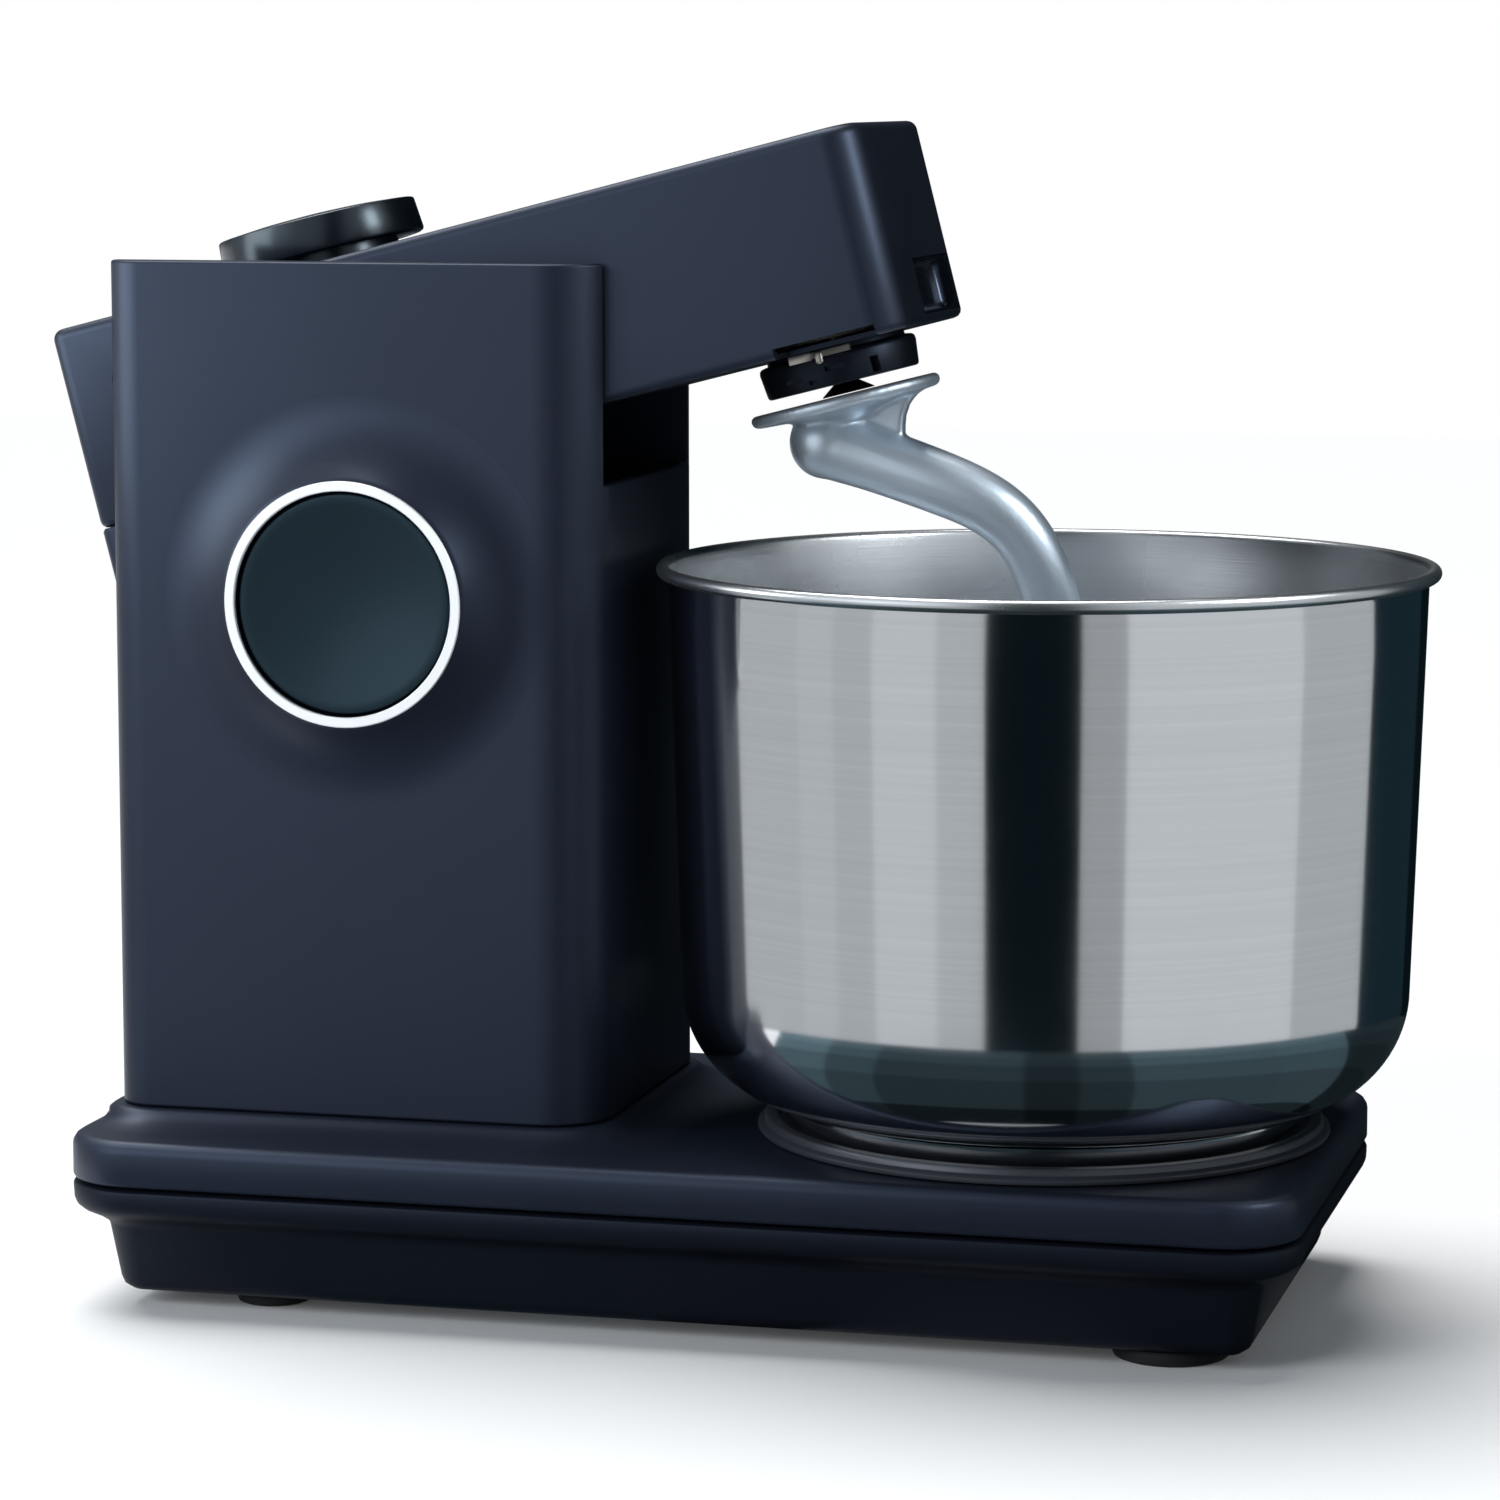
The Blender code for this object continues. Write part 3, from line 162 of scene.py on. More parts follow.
# ------------------------------------------------------------------ moulded housing plastic
# The shells are injection moulded in a black plastic with a fine spark-eroded grain. The same
# grain, at other depths, is on every plastic, rubber and cast piece, so it is one group.
def grain_group():
    """Colour, roughness and height of a fine all-over grain with slow colour drift."""
    group = bpy.data.node_groups.new("moulded_grain", "ShaderNodeTree")
    face = group.interface
    face.new_socket("Base", in_out="INPUT", socket_type="NodeSocketColor")
    for name, value in (("Drift", 0.1), ("Grain Scale", 1500.0), ("Roughness", 0.4),
                        ("Rough Spread", 0.08)):
        face.new_socket(name, in_out="INPUT", socket_type="NodeSocketFloat").default_value = value
    face.new_socket("Color", in_out="OUTPUT", socket_type="NodeSocketColor")
    face.new_socket("Roughness", in_out="OUTPUT", socket_type="NodeSocketFloat")
    face.new_socket("Height", in_out="OUTPUT", socket_type="NodeSocketFloat")
    nodes, links = group.nodes, group.links
    given = nodes.new("NodeGroupInput")
    out = nodes.new("NodeGroupOutput")
    place = nodes.new("ShaderNodeTexCoord")
    fine = nodes.new("ShaderNodeTexNoise")
    fine.inputs["Detail"].default_value = 2.0
    slow = nodes.new("ShaderNodeTexNoise")
    slow.inputs["Scale"].default_value = 22.0
    slow.inputs["Detail"].default_value = 3.0
    links.new(place.outputs["Object"], fine.inputs["Vector"])
    links.new(place.outputs["Object"], slow.inputs["Vector"])
    links.new(given.outputs["Grain Scale"], fine.inputs["Scale"])
    centred = nodes.new("ShaderNodeMath")
    centred.operation = "SUBTRACT"
    centred.inputs[1].default_value = 0.5
    links.new(slow.outputs["Fac"], centred.inputs[0])
    drift = nodes.new("ShaderNodeMath")
    drift.operation = "MULTIPLY_ADD"
    drift.inputs[2].default_value = 1.0
    links.new(centred.outputs[0], drift.inputs[0])
    links.new(given.outputs["Drift"], drift.inputs[1])
    tone = nodes.new("ShaderNodeVectorMath")
    tone.operation = "SCALE"
    links.new(given.outputs["Base"], tone.inputs[0])
    links.new(drift.outputs[0], tone.inputs["Scale"])
    links.new(tone.outputs[0], out.inputs["Color"])
    both = nodes.new("ShaderNodeMath")
    both.operation = "MULTIPLY_ADD"
    links.new(centred.outputs[0], both.inputs[0])
    links.new(given.outputs["Rough Spread"], both.inputs[1])
    links.new(given.outputs["Roughness"], both.inputs[2])
    links.new(both.outputs[0], out.inputs["Roughness"])
    links.new(fine.outputs["Fac"], out.inputs["Height"])
    return group


GRAIN = grain_group()
GRAIN_HEIGHT = 0.0002


def grained(name, colour, roughness, metallic=0.0, depth=0.05, drift=0.16, scale=1500.0, spread=0.10,
            specular=0.5, sheen=(1, 1, 1)):
    """A material whose colour, roughness and bump come from the moulded grain."""
    made, shader = fresh_material(name)
    nodes, links = made.node_tree.nodes, made.node_tree.links
    shader.inputs["Metallic"].default_value = metallic
    shader.inputs["Specular IOR Level"].default_value = specular
    shader.inputs["Specular Tint"].default_value = (*sheen, 1)
    skin = nodes.new("ShaderNodeGroup")
    skin.node_tree = GRAIN
    skin.inputs["Base"].default_value = (*colour, 1)
    skin.inputs["Drift"].default_value = drift
    skin.inputs["Grain Scale"].default_value = scale
    skin.inputs["Roughness"].default_value = roughness
    skin.inputs["Rough Spread"].default_value = spread
    bump = nodes.new("ShaderNodeBump")
    bump.inputs["Strength"].default_value = depth
    bump.inputs["Distance"].default_value = GRAIN_HEIGHT
    links.new(skin.outputs["Color"], shader.inputs["Base Color"])
    links.new(skin.outputs["Roughness"], shader.inputs["Roughness"])
    links.new(skin.outputs["Height"], bump.inputs["Height"])
    links.new(bump.outputs["Normal"], shader.inputs["Normal"])
    return made


BLUE_SHEEN = (0.55, 0.69, 1.0)
HOUSING = grained("housing_black", (0.010, 0.0128, 0.0225), 0.42, depth=0.12, sheen=BLUE_SHEEN)


# ------------------------------------------------------------------ base tray
# A deep tray in matt black closes the base from below. It has a flange under the seam and
# tapers in to a rounded bottom edge. It is held by screws beside the feet.
def plan(x0, x1, half, front, rear, z, steps=10):
    """Points of a corner-rounded rectangle, symmetric about the X axis, at height z."""
    points = []
    for cx, cy, radius, start in ((x1 - front, -half + front, front, -90),
                                  (x1 - front, half - front, front, 0),
                                  (x0 + rear, half - rear, rear, 90),
                                  (x0 + rear, -half + rear, rear, 180)):
        for k in range(steps + 1):
            angle = math.radians(start + 90 * k / steps)
            points.append((cx + radius * math.cos(angle), cy + radius * math.sin(angle), z))
    return points


def pick(piece):
    """Makes piece the active object and the only selected one."""
    bpy.ops.object.select_all(action="DESELECT")
    piece.select_set(True)
    bpy.context.view_layer.objects.active = piece


def work_on(piece):
    """Opens piece alone for editing, with nothing selected in it."""
    pick(piece)
    bpy.ops.object.mode_set(mode="EDIT")
    bpy.ops.mesh.select_all(action="DESELECT")


MERGE = 1e-6


def close_work(piece, angle=35):
    """Leaves edit mode with merged points and outward faces, shaded smooth up to an angle."""
    bpy.ops.mesh.select_all(action="SELECT")
    bpy.ops.mesh.remove_doubles(threshold=MERGE)
    bpy.ops.mesh.normals_make_consistent(inside=False)
    bpy.ops.mesh.select_all(action="DESELECT")
    bpy.ops.object.mode_set(mode="OBJECT")
    bpy.ops.object.shade_smooth_by_angle(angle=math.radians(angle))


def bridged(name, rings, material, body, instead, angle=35, ends=(True, True)):
    """A body through rings of equal count, bridged one pair after another, its ends filled."""
    count = len(rings[0])
    points = [point for loop in rings for point in loop]
    edges = [(row * count + i, row * count + (i + 1) % count)
             for row in range(len(rings)) for i in range(count)]
    mesh = bpy.data.meshes.new(name)
    mesh.from_pydata(points, edges, [])
    piece = linked(name, mesh)
    work_on(piece)
    bpy.ops.mesh.select_mode(type="EDGE")
    bpy.ops.object.mode_set(mode="OBJECT")
    for low in range(len(rings) - 1):
        for edge in mesh.edges:
            first, second = (v // count for v in edge.vertices)
            edge.select = first == second and first in (low, low + 1)
        bpy.ops.object.mode_set(mode="EDIT")
        bpy.ops.mesh.bridge_edge_loops()
        bpy.ops.mesh.select_all(action="DESELECT")
        bpy.ops.object.mode_set(mode="OBJECT")
    for wanted, row in zip(ends, (0, len(rings) - 1)):
        if wanted:
            for edge in mesh.edges:
                edge.select = all(v // count == row for v in edge.vertices)
            bpy.ops.object.mode_set(mode="EDIT")
            bpy.ops.mesh.edge_face_add()
            bpy.ops.mesh.select_all(action="DESELECT")
            bpy.ops.object.mode_set(mode="OBJECT")
    bpy.ops.object.mode_set(mode="EDIT")
    close_work(piece, angle)
    return dressed(piece, material, body, instead)


def dressed(piece, material, body, instead=()):
    """Gives a finished piece its material, the body it rides on and the nodes it stands for."""
    piece.data.materials.clear()
    piece.data.materials.append(material)
    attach(piece, body)
    if instead:
        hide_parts(*instead)
    return piece


TRAY = grained("tray_black", (0.0050, 0.0060, 0.0105), 0.50, depth=0.15, specular=0.24, sheen=BLUE_SHEEN)
REAR, FRONT, HALF = -0.2010, 0.1885, 0.0960
CORNER = 0.0240


def base_ring(inset, z):
    """The base's outline moved in by inset."""
    corner = max(CORNER - inset, 0.004)
    return plan(REAR + inset, FRONT - inset, HALF - inset, corner, corner, z)


bridged("tray", [base_ring(0.0120, 0.0402), base_ring(0.0012, 0.0402), base_ring(0.0003, 0.0396),
                 base_ring(0, 0.0388), base_ring(0.0002, 0.0350), base_ring(0.0010, 0.0330),
                 base_ring(0.0030, 0.0313), base_ring(0.0075, 0.0292), base_ring(0.0108, 0.0270),
                 base_ring(0.0113, 0.0258), base_ring(0.0146, 0.0090), base_ring(0.0156, 0.0066),
                 base_ring(0.0180, 0.0050), base_ring(0.0205, 0.0047)],
        TRAY, "stand", ["base_bottom_tray"])


# ------------------------------------------------------------------ feet
# Four turned rubber feet are pressed into the tray, with the front pair larger than the rear
# pair. The sole is flat with a small rounded rim.
def turned(name, profile, material, body, instead=(), steps=96, angle=35, place=(0, 0, 0), turn=(0, 0, 0),
           closed=False, arm=False):
    """Spins a profile of (radius, height) points about Z, then sets it down in its place."""
    bpy.ops.object.select_all(action="DESELECT")
    bpy.ops.mesh.primitive_plane_add(size=0.001, location=(0, 0, 0))
    piece = bpy.context.object
    piece.name = name
    piece.data.name = name
    first = Vector((profile[0][0], 0, profile[0][1]))
    bpy.ops.object.mode_set(mode="EDIT")
    bpy.ops.mesh.select_mode(type="VERT")
    bpy.ops.mesh.select_all(action="SELECT")
    bpy.ops.mesh.merge(type="CENTER")
    bpy.ops.transform.translate(value=first)
    path = profile[1:] + ([profile[0]] if closed else [])
    here = first
    for radius, height in path:
        there = Vector((radius, 0, height))
        bpy.ops.mesh.extrude_vertices_move(TRANSFORM_OT_translate={"value": there - here})
        here = there
    bpy.ops.mesh.select_all(action="SELECT")
    bpy.ops.mesh.spin(steps=steps, angle=math.tau, center=(0, 0, 0), axis=(0, 0, 1))
    close_work(piece, angle)
    piece.rotation_euler = turn
    piece.location = place
    bpy.ops.object.transform_apply(location=True, rotation=True, scale=True)
    if arm:
        raise_with_arm(piece)
    return dressed(piece, material, body, instead)


RUBBER = grained("rubber_black", (0.010, 0.010, 0.011), 0.75, depth=0.3, specular=0.3)
for node, x, y, radius in (("foot_front_right", 0.147, -0.060, 0.0178),
                           ("foot_front_left", 0.147, 0.060, 0.0178),
                           ("foot_rear_right", -0.140, -0.060, 0.0118),
                           ("foot_rear_left", -0.140, 0.060, 0.0118)):
    turned(node + "_pad", [(0, 0), (radius - 0.0014, 0), (radius - 0.0004, 0.0004), (radius, 0.0014),
                           (radius, 0.0034), (radius - 0.0006, 0.0044), (0, 0.0044)],
           RUBBER, "stand", [node], place=(x, y, 0))


# ------------------------------------------------------------------ base top shell
# The upper half of the base is a shallow moulding with a rolled upper edge. Round the tower it
# rises in a hollow curve to a lip that the tower stands on.
TOWER_REAR, TOWER_FRONT, TOWER_HALF = -0.1920, -0.0325, 0.0648
TOWER_FRONT_R, TOWER_REAR_R = 0.0200, 0.0125
REAR_RIM = 0.0042


def foot_ring_plan(spread, z):
    """The tower's outline spread outwards, kept inside the base's rear edge."""
    front = TOWER_FRONT_R + spread
    rear = min(TOWER_REAR_R + spread, TOWER_FRONT_R)
    return plan(max(TOWER_REAR - spread, REAR + REAR_RIM), TOWER_FRONT + spread, TOWER_HALF + spread,
                front, rear, z)


SHELL_RINGS = [base_ring(0.0120, 0.0411), base_ring(0.0016, 0.0411), base_ring(0.0005, 0.0416),
               base_ring(0, 0.0425), base_ring(0, 0.0515), base_ring(0.0003, 0.0530),
               base_ring(0.0012, 0.0544), base_ring(0.0026, 0.0553), base_ring(0.0040, 0.0555),
               *(foot_ring_plan(spread, z) for spread, z in (
                   (0.0175, 0.0556), (0.0150, 0.05585), (0.0110, 0.0566), (0.0075, 0.0577),
                   (0.0050, 0.0589), (0.0036, 0.0599), (0.0028, 0.0604), (0.0018, 0.0607),
                   (-0.004, 0.0607)))]
bridged("base_shell", SHELL_RINGS, HOUSING, "stand", ["base_top_shell"], angle=40)

# ------------------------------------------------------------------ bowl seat
# A dark stepped ring is screwed to the base. The bowl's foot drops into it and locks with a
# short turn.
SEAT = grained("seat_grey", (0.055, 0.060, 0.075), 0.34, metallic=0.25, depth=0.08)
turned("seat_ring", [(0.0765, 0.0558), (0.0890, 0.0558), (0.0897, 0.0561), (0.0900, 0.0566), (0.0900, 0.0574),
                     (0.0896, 0.0579), (0.0886, 0.0582), (0.0880, 0.0586), (0.0878, 0.0598), (0.0872, 0.0605),
                     (0.0864, 0.0607), (0.0842, 0.0607), (0.0836, 0.0603), (0.0835, 0.0584),
                     (0.0765, 0.0584)],
       SEAT, "stand", ["bowl_seat_ring"], steps=160, place=(BOWL_X, 0, 0), closed=True)


# ------------------------------------------------------------------ tower
# The tower's two hollow cheeks and the panel between them meet without a visible seam, so they
# are one skin here. The slot for the arm runs through its upper half.
def rounded(piece, width, steps=3, limit=40):
    """Rounds all edges sharper than limit degrees with an applied bevel."""
    soften = piece.modifiers.new("rounding", "BEVEL")
    soften.width = width
    soften.segments = steps
    soften.limit_method = "ANGLE"
    soften.angle_limit = math.radians(limit)
    soften.harden_normals = False
    bpy.context.view_layer.objects.active = piece
    bpy.ops.object.modifier_apply(modifier=soften.name)


def carve(piece, cutter, operation="DIFFERENCE"):
    """Cuts cutter out of piece, or joins it, and removes the cutter."""
    change = piece.modifiers.new("carving", "BOOLEAN")
    change.operation = operation
    change.solver = "EXACT"
    change.object = cutter
    bpy.context.view_layer.objects.active = piece
    bpy.ops.object.modifier_apply(modifier=change.name)
    bpy.data.objects.remove(cutter, do_unlink=True)


def bar(x0, x1, y0, y1, z0, z1):
    """A plain bar between two corners, used as a cutter or a start."""
    bpy.ops.object.select_all(action="DESELECT")
    bpy.ops.mesh.primitive_cube_add(size=1, location=((x0 + x1) / 2, (y0 + y1) / 2, (z0 + z1) / 2))
    piece = bpy.context.object
    piece.scale = (x1 - x0, y1 - y0, z1 - z0)
    bpy.ops.object.transform_apply(location=True, rotation=True, scale=True)
    return piece


def drill(piece, radius, depth, vertices, place=(0, 0, 0), turn=(0, 0, 0)):
    """Cuts a round hole centred on place."""
    bpy.ops.mesh.primitive_cylinder_add(vertices=vertices, radius=radius, depth=depth, location=place,
                                        rotation=turn)
    carve(piece, bpy.context.object)


def smoothed(piece, angle):
    """Shades piece smooth up to an angle."""
    pick(piece)
    bpy.ops.object.shade_smooth_by_angle(angle=math.radians(angle))


SLOT = 0.0503
tower = bridged("tower_skin", [plan(TOWER_REAR, TOWER_FRONT, TOWER_HALF, TOWER_FRONT_R, TOWER_REAR_R, z, 14)
                               for z in (0.0610, 0.3275)],
                HOUSING, "stand", ["tower_cheek_right", "tower_cheek_left", "tower_front_panel"])
carve(tower, bar(-0.25, 0.05, -SLOT, SLOT, 0.2595, 0.40))
carve(tower, bar(-0.25, -0.0365, -SLOT, SLOT, 0.03, 0.30))
rounded(tower, 0.0016, 3, 50)
bpy.ops.object.shade_smooth_by_angle(angle=math.radians(40))

rear_cover = bar(TOWER_REAR, -0.1888, -0.0499, 0.0499, 0.0612, 0.1880)
rear_cover.name = "rear_cover"
rounded(rear_cover, 0.0009, 3)
bpy.ops.object.shade_smooth_by_angle(angle=math.radians(40))
dressed(rear_cover, HOUSING, "stand", ["tower_rear_cover"])

turned("lead_gland", [(0.0036, 0.0003), (0.0092, 0.0003), (0.0095, 0.0008), (0.0095, 0.0020),
                      (0.0088, 0.0026), (0.0066, 0.0030), (0.0058, 0.0060), (0.0056, 0.0082),
                      (0.0050, 0.0085), (0.0036, 0.0085)],
       RUBBER, "stand", ["cable_gland"], place=(TOWER_REAR, 0, 0.0900), turn=(0, math.radians(-90), 0),
       closed=True)

# ------------------------------------------------------------------ release button
# The near cheek swells in a hollow curve to a round seat. A satin metal ring rims it, and the
# dished black button inside pushes in against its spring.
ACROSS = (math.radians(90), 0, 0)
BUTTON_PLACE = (-0.1095, -TOWER_HALF, 0.2235)
SWELL_R, RING_SIDE, RISE = 0.0640, 0.0383, 0.0122
SKIN = 0.00005
swell = [(0.0349, SKIN)]
for k in range(25):
    share = k / 24
    swell.append((SWELL_R - (SWELL_R - RING_SIDE) * share, SKIN + RISE * share ** 2.3))
swell += [(RING_SIDE - 0.0002, RISE + 0.0001), (RING_SIDE - 0.0004, RISE - 0.0002), (0.0380, 0.0112),
          (0.0349, 0.0112)]
swelling = turned("button_swell", swell, HOUSING, "stand", ["release_boss"], steps=160, place=BUTTON_PLACE,
                  turn=ACROSS, closed=True, angle=60)
# The swell's outer edge follows the cheek round its front corner.
for point in swelling.data.vertices:
    past = point.co.x - (TOWER_FRONT - TOWER_FRONT_R)
    if past > 0 and point.co.y > -0.0745:
        point.co.y += TOWER_FRONT_R - math.sqrt(TOWER_FRONT_R ** 2 - past ** 2)
SATIN = grained("ring_satin", (0.96, 0.98, 0.99), 0.36, metallic=0.4, depth=0.03, drift=0.05, spread=0.06)
turned("button_ring", [(0.0349, 0.0116), (0.0379, 0.0116), (0.0380, 0.0119), (0.0380, 0.0128),
                       (0.0377, 0.0131), (0.0352, 0.0131), (0.0349, 0.0128)],
       SATIN, "stand", ["ring_trim"], steps=160, place=BUTTON_PLACE, turn=ACROSS, closed=True)
DISH = grained("dish_black", (0.0022, 0.0062, 0.0105), 0.34, depth=0.10, specular=0.45,
               sheen=(0.50, 0.80, 1.0))
DISH_R, DISH_RIM, DISH_DEPTH = 0.0332, 0.0110, 0.0044
dish = [(0, -0.0045), (0.0100, -0.0045), (0.0100, 0.0067), (0.0325, 0.0067), (0.0341, 0.0074),
        (0.0341, 0.0104), (0.0338, 0.0108), (DISH_R, DISH_RIM)]
dish += [(DISH_R * (1 - k / 12), DISH_RIM - DISH_DEPTH * math.sin(math.pi / 2 * k / 12))
         for k in range(1, 13)]
turned("button_dish", dish, DISH, "button", ["release_button"], steps=160, place=BUTTON_PLACE, turn=ACROSS)

# ------------------------------------------------------------------ arm upper shell
# The arm is one long box-shaped moulding with tightly rounded corners and edges. The nose has a
# finger recess low in its front face, and each side a small hole near the tail.
HINGE = Vector((-0.1006, 0, 0.1300))
LEAN = math.radians(14.4)


def raise_with_arm(piece):
    """Turns a piece modelled level about the hinge up to the raised arm and applies it."""
    pick(piece)
    piece.location = HINGE
    piece.rotation_euler = (0, -LEAN, 0)
    bpy.ops.object.transform_apply(location=True, rotation=True, scale=True)


ARM_REAR, ARM_FRONT, ARM_HALF = -0.0685, 0.2000, 0.0490
UNDER, TOP, EDGE_R = 0.1332, 0.1975, 0.0034


def arm_ring(inset, z):
    """The arm's outline moved in by inset."""
    return plan(ARM_REAR + inset, ARM_FRONT - inset, ARM_HALF - inset, max(0.0115 - inset, 0.003),
                max(0.0050 - inset, 0.002), z)


arm_rings = [arm_ring(0.0060, 0.1340), arm_ring(0.0056, 0.1334), arm_ring(0.0028, UNDER),
             arm_ring(0.0014, 0.1335), arm_ring(0.0004, 0.1344), arm_ring(0, 0.1356)]
arm_rings += [arm_ring(EDGE_R * (1 - math.cos(a)), TOP - EDGE_R * (1 - math.sin(a)))
              for a in (math.pi / 2 * k / 6 for k in range(7))]
arm_shell = bridged("arm_shell", arm_rings, HOUSING, "arm", ["arm_upper_shell"], ends=(False, True))
hollow = bridged("arm_hollow", [arm_ring(0.0060, 0.1340), arm_ring(0.0060, 0.1353), arm_ring(0.0026, 0.1364),
                                arm_ring(0.0026, TOP - 0.003)], HOUSING, "arm", [], ends=(False, True))
work_on(hollow)
bpy.ops.mesh.select_all(action="SELECT")
bpy.ops.mesh.flip_normals()
bpy.ops.object.mode_set(mode="OBJECT")
pick(arm_shell)
hollow.select_set(True)
bpy.ops.object.join()
work_on(arm_shell)
bpy.ops.mesh.select_all(action="SELECT")
bpy.ops.mesh.remove_doubles(threshold=MERGE)
bpy.ops.object.mode_set(mode="OBJECT")
RECESS_Y, RECESS_BACK = 0.0125, 0.1925
NOTCH = (0.1590, 0.1915, -0.0600, -0.0300, 0.1250)
carve(arm_shell, bar(RECESS_BACK, 0.2100, RECESS_Y - 0.0262, RECESS_Y + 0.0262, 0.1361, 0.1538))
carve(arm_shell, bar(*NOTCH, 0.1366))
drill(arm_shell, 0.0029, 0.12, 40, (-0.0483, 0, 0.1775), ACROSS)
smoothed(arm_shell, 35)
raise_with_arm(arm_shell)

LINER = grained("recess_gloss", (0.008, 0.011, 0.015), 0.22, depth=0.03, specular=0.6, sheen=BLUE_SHEEN)
liner = bar(RECESS_BACK, 0.1992, RECESS_Y - 0.0260, RECESS_Y + 0.0260, 0.1362, 0.1536)
liner.name = "recess_liner"
pocket = bar(0.1940, 0.2100, RECESS_Y - 0.0246, RECESS_Y + 0.0246, 0.1370, 0.1524)
rounded(pocket, 0.0030, 4)
carve(liner, pocket)
smoothed(liner, 40)
raise_with_arm(liner)
dressed(liner, LINER, "arm", ["grip_liner"])

# ------------------------------------------------------------------ arm underside and leg
# A flat cover closes the arm from below, set flush inside the shell's rounded lower edge. Behind
# it comes the hollow leg that turns on the hinge shaft.
cover = bridged("arm_cover", [plan(0.0605, 0.1934, 0.0424, 0.0050, 0.002, UNDER + 0.0003, 10),
                              plan(0.0605, 0.1936, 0.0426, 0.0052, 0.002, UNDER + 0.0006, 10),
                              plan(0.0605, 0.1936, 0.0426, 0.0052, 0.002, 0.1350, 10)],
                HOUSING, "arm", ["arm_lower_cover"])
HUB = Vector((0.1665, 0, 0))
drill(cover, 0.0225, 0.02, 96, (HUB.x, 0, 0.1340))
carve(cover, bar(*NOTCH, 0.1400))
smoothed(cover, 35)
raise_with_arm(cover)

LEG_HALF = 0.0457
leg = bridged("arm_leg_shell", [plan(x0, x1, half, corner, corner, z, 6) for x0, x1, half, corner, z in (
                  (-0.018, 0.018, LEG_HALF, 0.005, -0.0280), (-0.030, 0.030, LEG_HALF, 0.005, -0.0140),
                  (-0.0645, 0.0520, LEG_HALF, 0.005, 0.0350), (ARM_REAR, 0.0580, ARM_HALF, 0.005, 0.0600),
                  (ARM_REAR, 0.0600, ARM_HALF, 0.005, 0.1322), (-0.0677, 0.0592, 0.0482, 0.0042, UNDER))],
              HOUSING, "arm", ["arm_leg"])
drill(leg, 0.0098, 0.12, 48, turn=ACROSS)
smoothed(leg, 35)
raise_with_arm(leg)

# ------------------------------------------------------------------ speed dial
# The dial is a broad low knob in satin black, turned with a slight cone, over a narrower neck
# that leaves a dark gap above the arm.
DIAL = grained("dial_satin_black", (0.010, 0.014, 0.022), 0.25, depth=0.04, specular=0.6,
               sheen=(0.75, 0.9, 1.0))
turned("speed_dial", [(0, TOP + 0.0003), (0.0240, TOP + 0.0003), (0.0240, TOP + 0.0040),
                      (0.0318, TOP + 0.0040),
                      (0.0326, TOP + 0.0044), (0.0329, TOP + 0.0052), (0.0321, TOP + 0.0144),
                      (0.0320, TOP + 0.0148), (0.0316, TOP + 0.0151), (0.0225, TOP + 0.0160),
                      (0.0112, TOP + 0.0167), (0, TOP + 0.0169)],
       DIAL, "dial", ["control_dial"], steps=160, place=(0.0106, 0, 0), arm=True)

# ------------------------------------------------------------------ drive hub
# The round hub turns under the arm. It carries a plated clip and screw on its rim, and a dark
# cone collar where the tool spindle comes out off-centre.
OFFSET, AWAY = 0.0105, math.radians(100)
SPINDLE = HUB + Vector((OFFSET * math.cos(AWAY), OFFSET * math.sin(AWAY), 0))
HUB_BLACK = grained("hub_black", (0.0040, 0.0045, 0.0070), 0.40, depth=0.10, specular=0.30, sheen=BLUE_SHEEN)
hub = turned("hub", [(0, 0.1216), (0.0232, 0.1216), (0.0240, 0.1219), (0.0243, 0.1226), (0.0251, 0.1298),
                     (0.0249, 0.1309), (0.0242, 0.1316), (0.0229, 0.1319), (0.0221, 0.1320), (0.0220, 0.1330),
                     (0.0220, 0.1352), (0, 0.1352)], HUB_BLACK, "carrier", ["hub_housing"], steps=128)
for x0, x1, y0, y1, z0, z1 in ((0.0145, 0.0168, -0.0300, -0.0150, 0.1226, 0.1275),
                               (-0.0130, -0.0070, -0.0300, -0.0205, 0.1248, 0.1262),
                               (-0.0050, -0.0020, -0.0300, -0.0222, 0.1232, 0.1246),
                               (0.0010, 0.0072, -0.0300, -0.0228, 0.1262, 0.1278)):
    carve(hub, bar(x0, x1, y0, y1, z0, z1))
smoothed(hub, 35)
hub.location = HUB
bpy.ops.object.transform_apply(location=True, rotation=True, scale=True)
raise_with_arm(hub)
PLATED = grained("plated_steel", (0.50, 0.47, 0.43), 0.32, metallic=1.0, depth=0.05, drift=0.3, scale=900)
clip = bar(0.1575, 0.1648, -0.0270, -0.0238, 0.1306, 0.1331)
carve(clip, bar(0.1640, 0.1772, -0.0266, -0.0242, 0.1310, 0.1330), "UNION")
clip.name = "clip_strip"
rounded(clip, 0.0004, 2)
raise_with_arm(clip)
dressed(clip, PLATED, "carrier", ["tool_clip"])
smoothed(clip, 40)
pin = bar(0.1658, 0.1684, -0.0280, -0.0258, 0.1290, 0.1331)
pin.name = "clip_screw"
rounded(pin, 0.0008, 3)
bpy.ops.object.shade_smooth_by_angle(angle=math.radians(40))
raise_with_arm(pin)
dressed(pin, PLATED, "carrier", ["tool_clip_screw"])
COLLAR = grained("collar_grey", (0.022, 0.025, 0.030), 0.4, metallic=0.3, depth=0.05)
turned("spindle_collar", [(0, 0.1183), (0.0084, 0.1183), (0.0082, 0.1187), (0.0042, 0.1216), (0.0034, 0.1217),
                          (0.0034, 0.1419), (0, 0.1419)],
       COLLAR, "tool", ["tool_spindle"], steps=64, place=SPINDLE, arm=True)

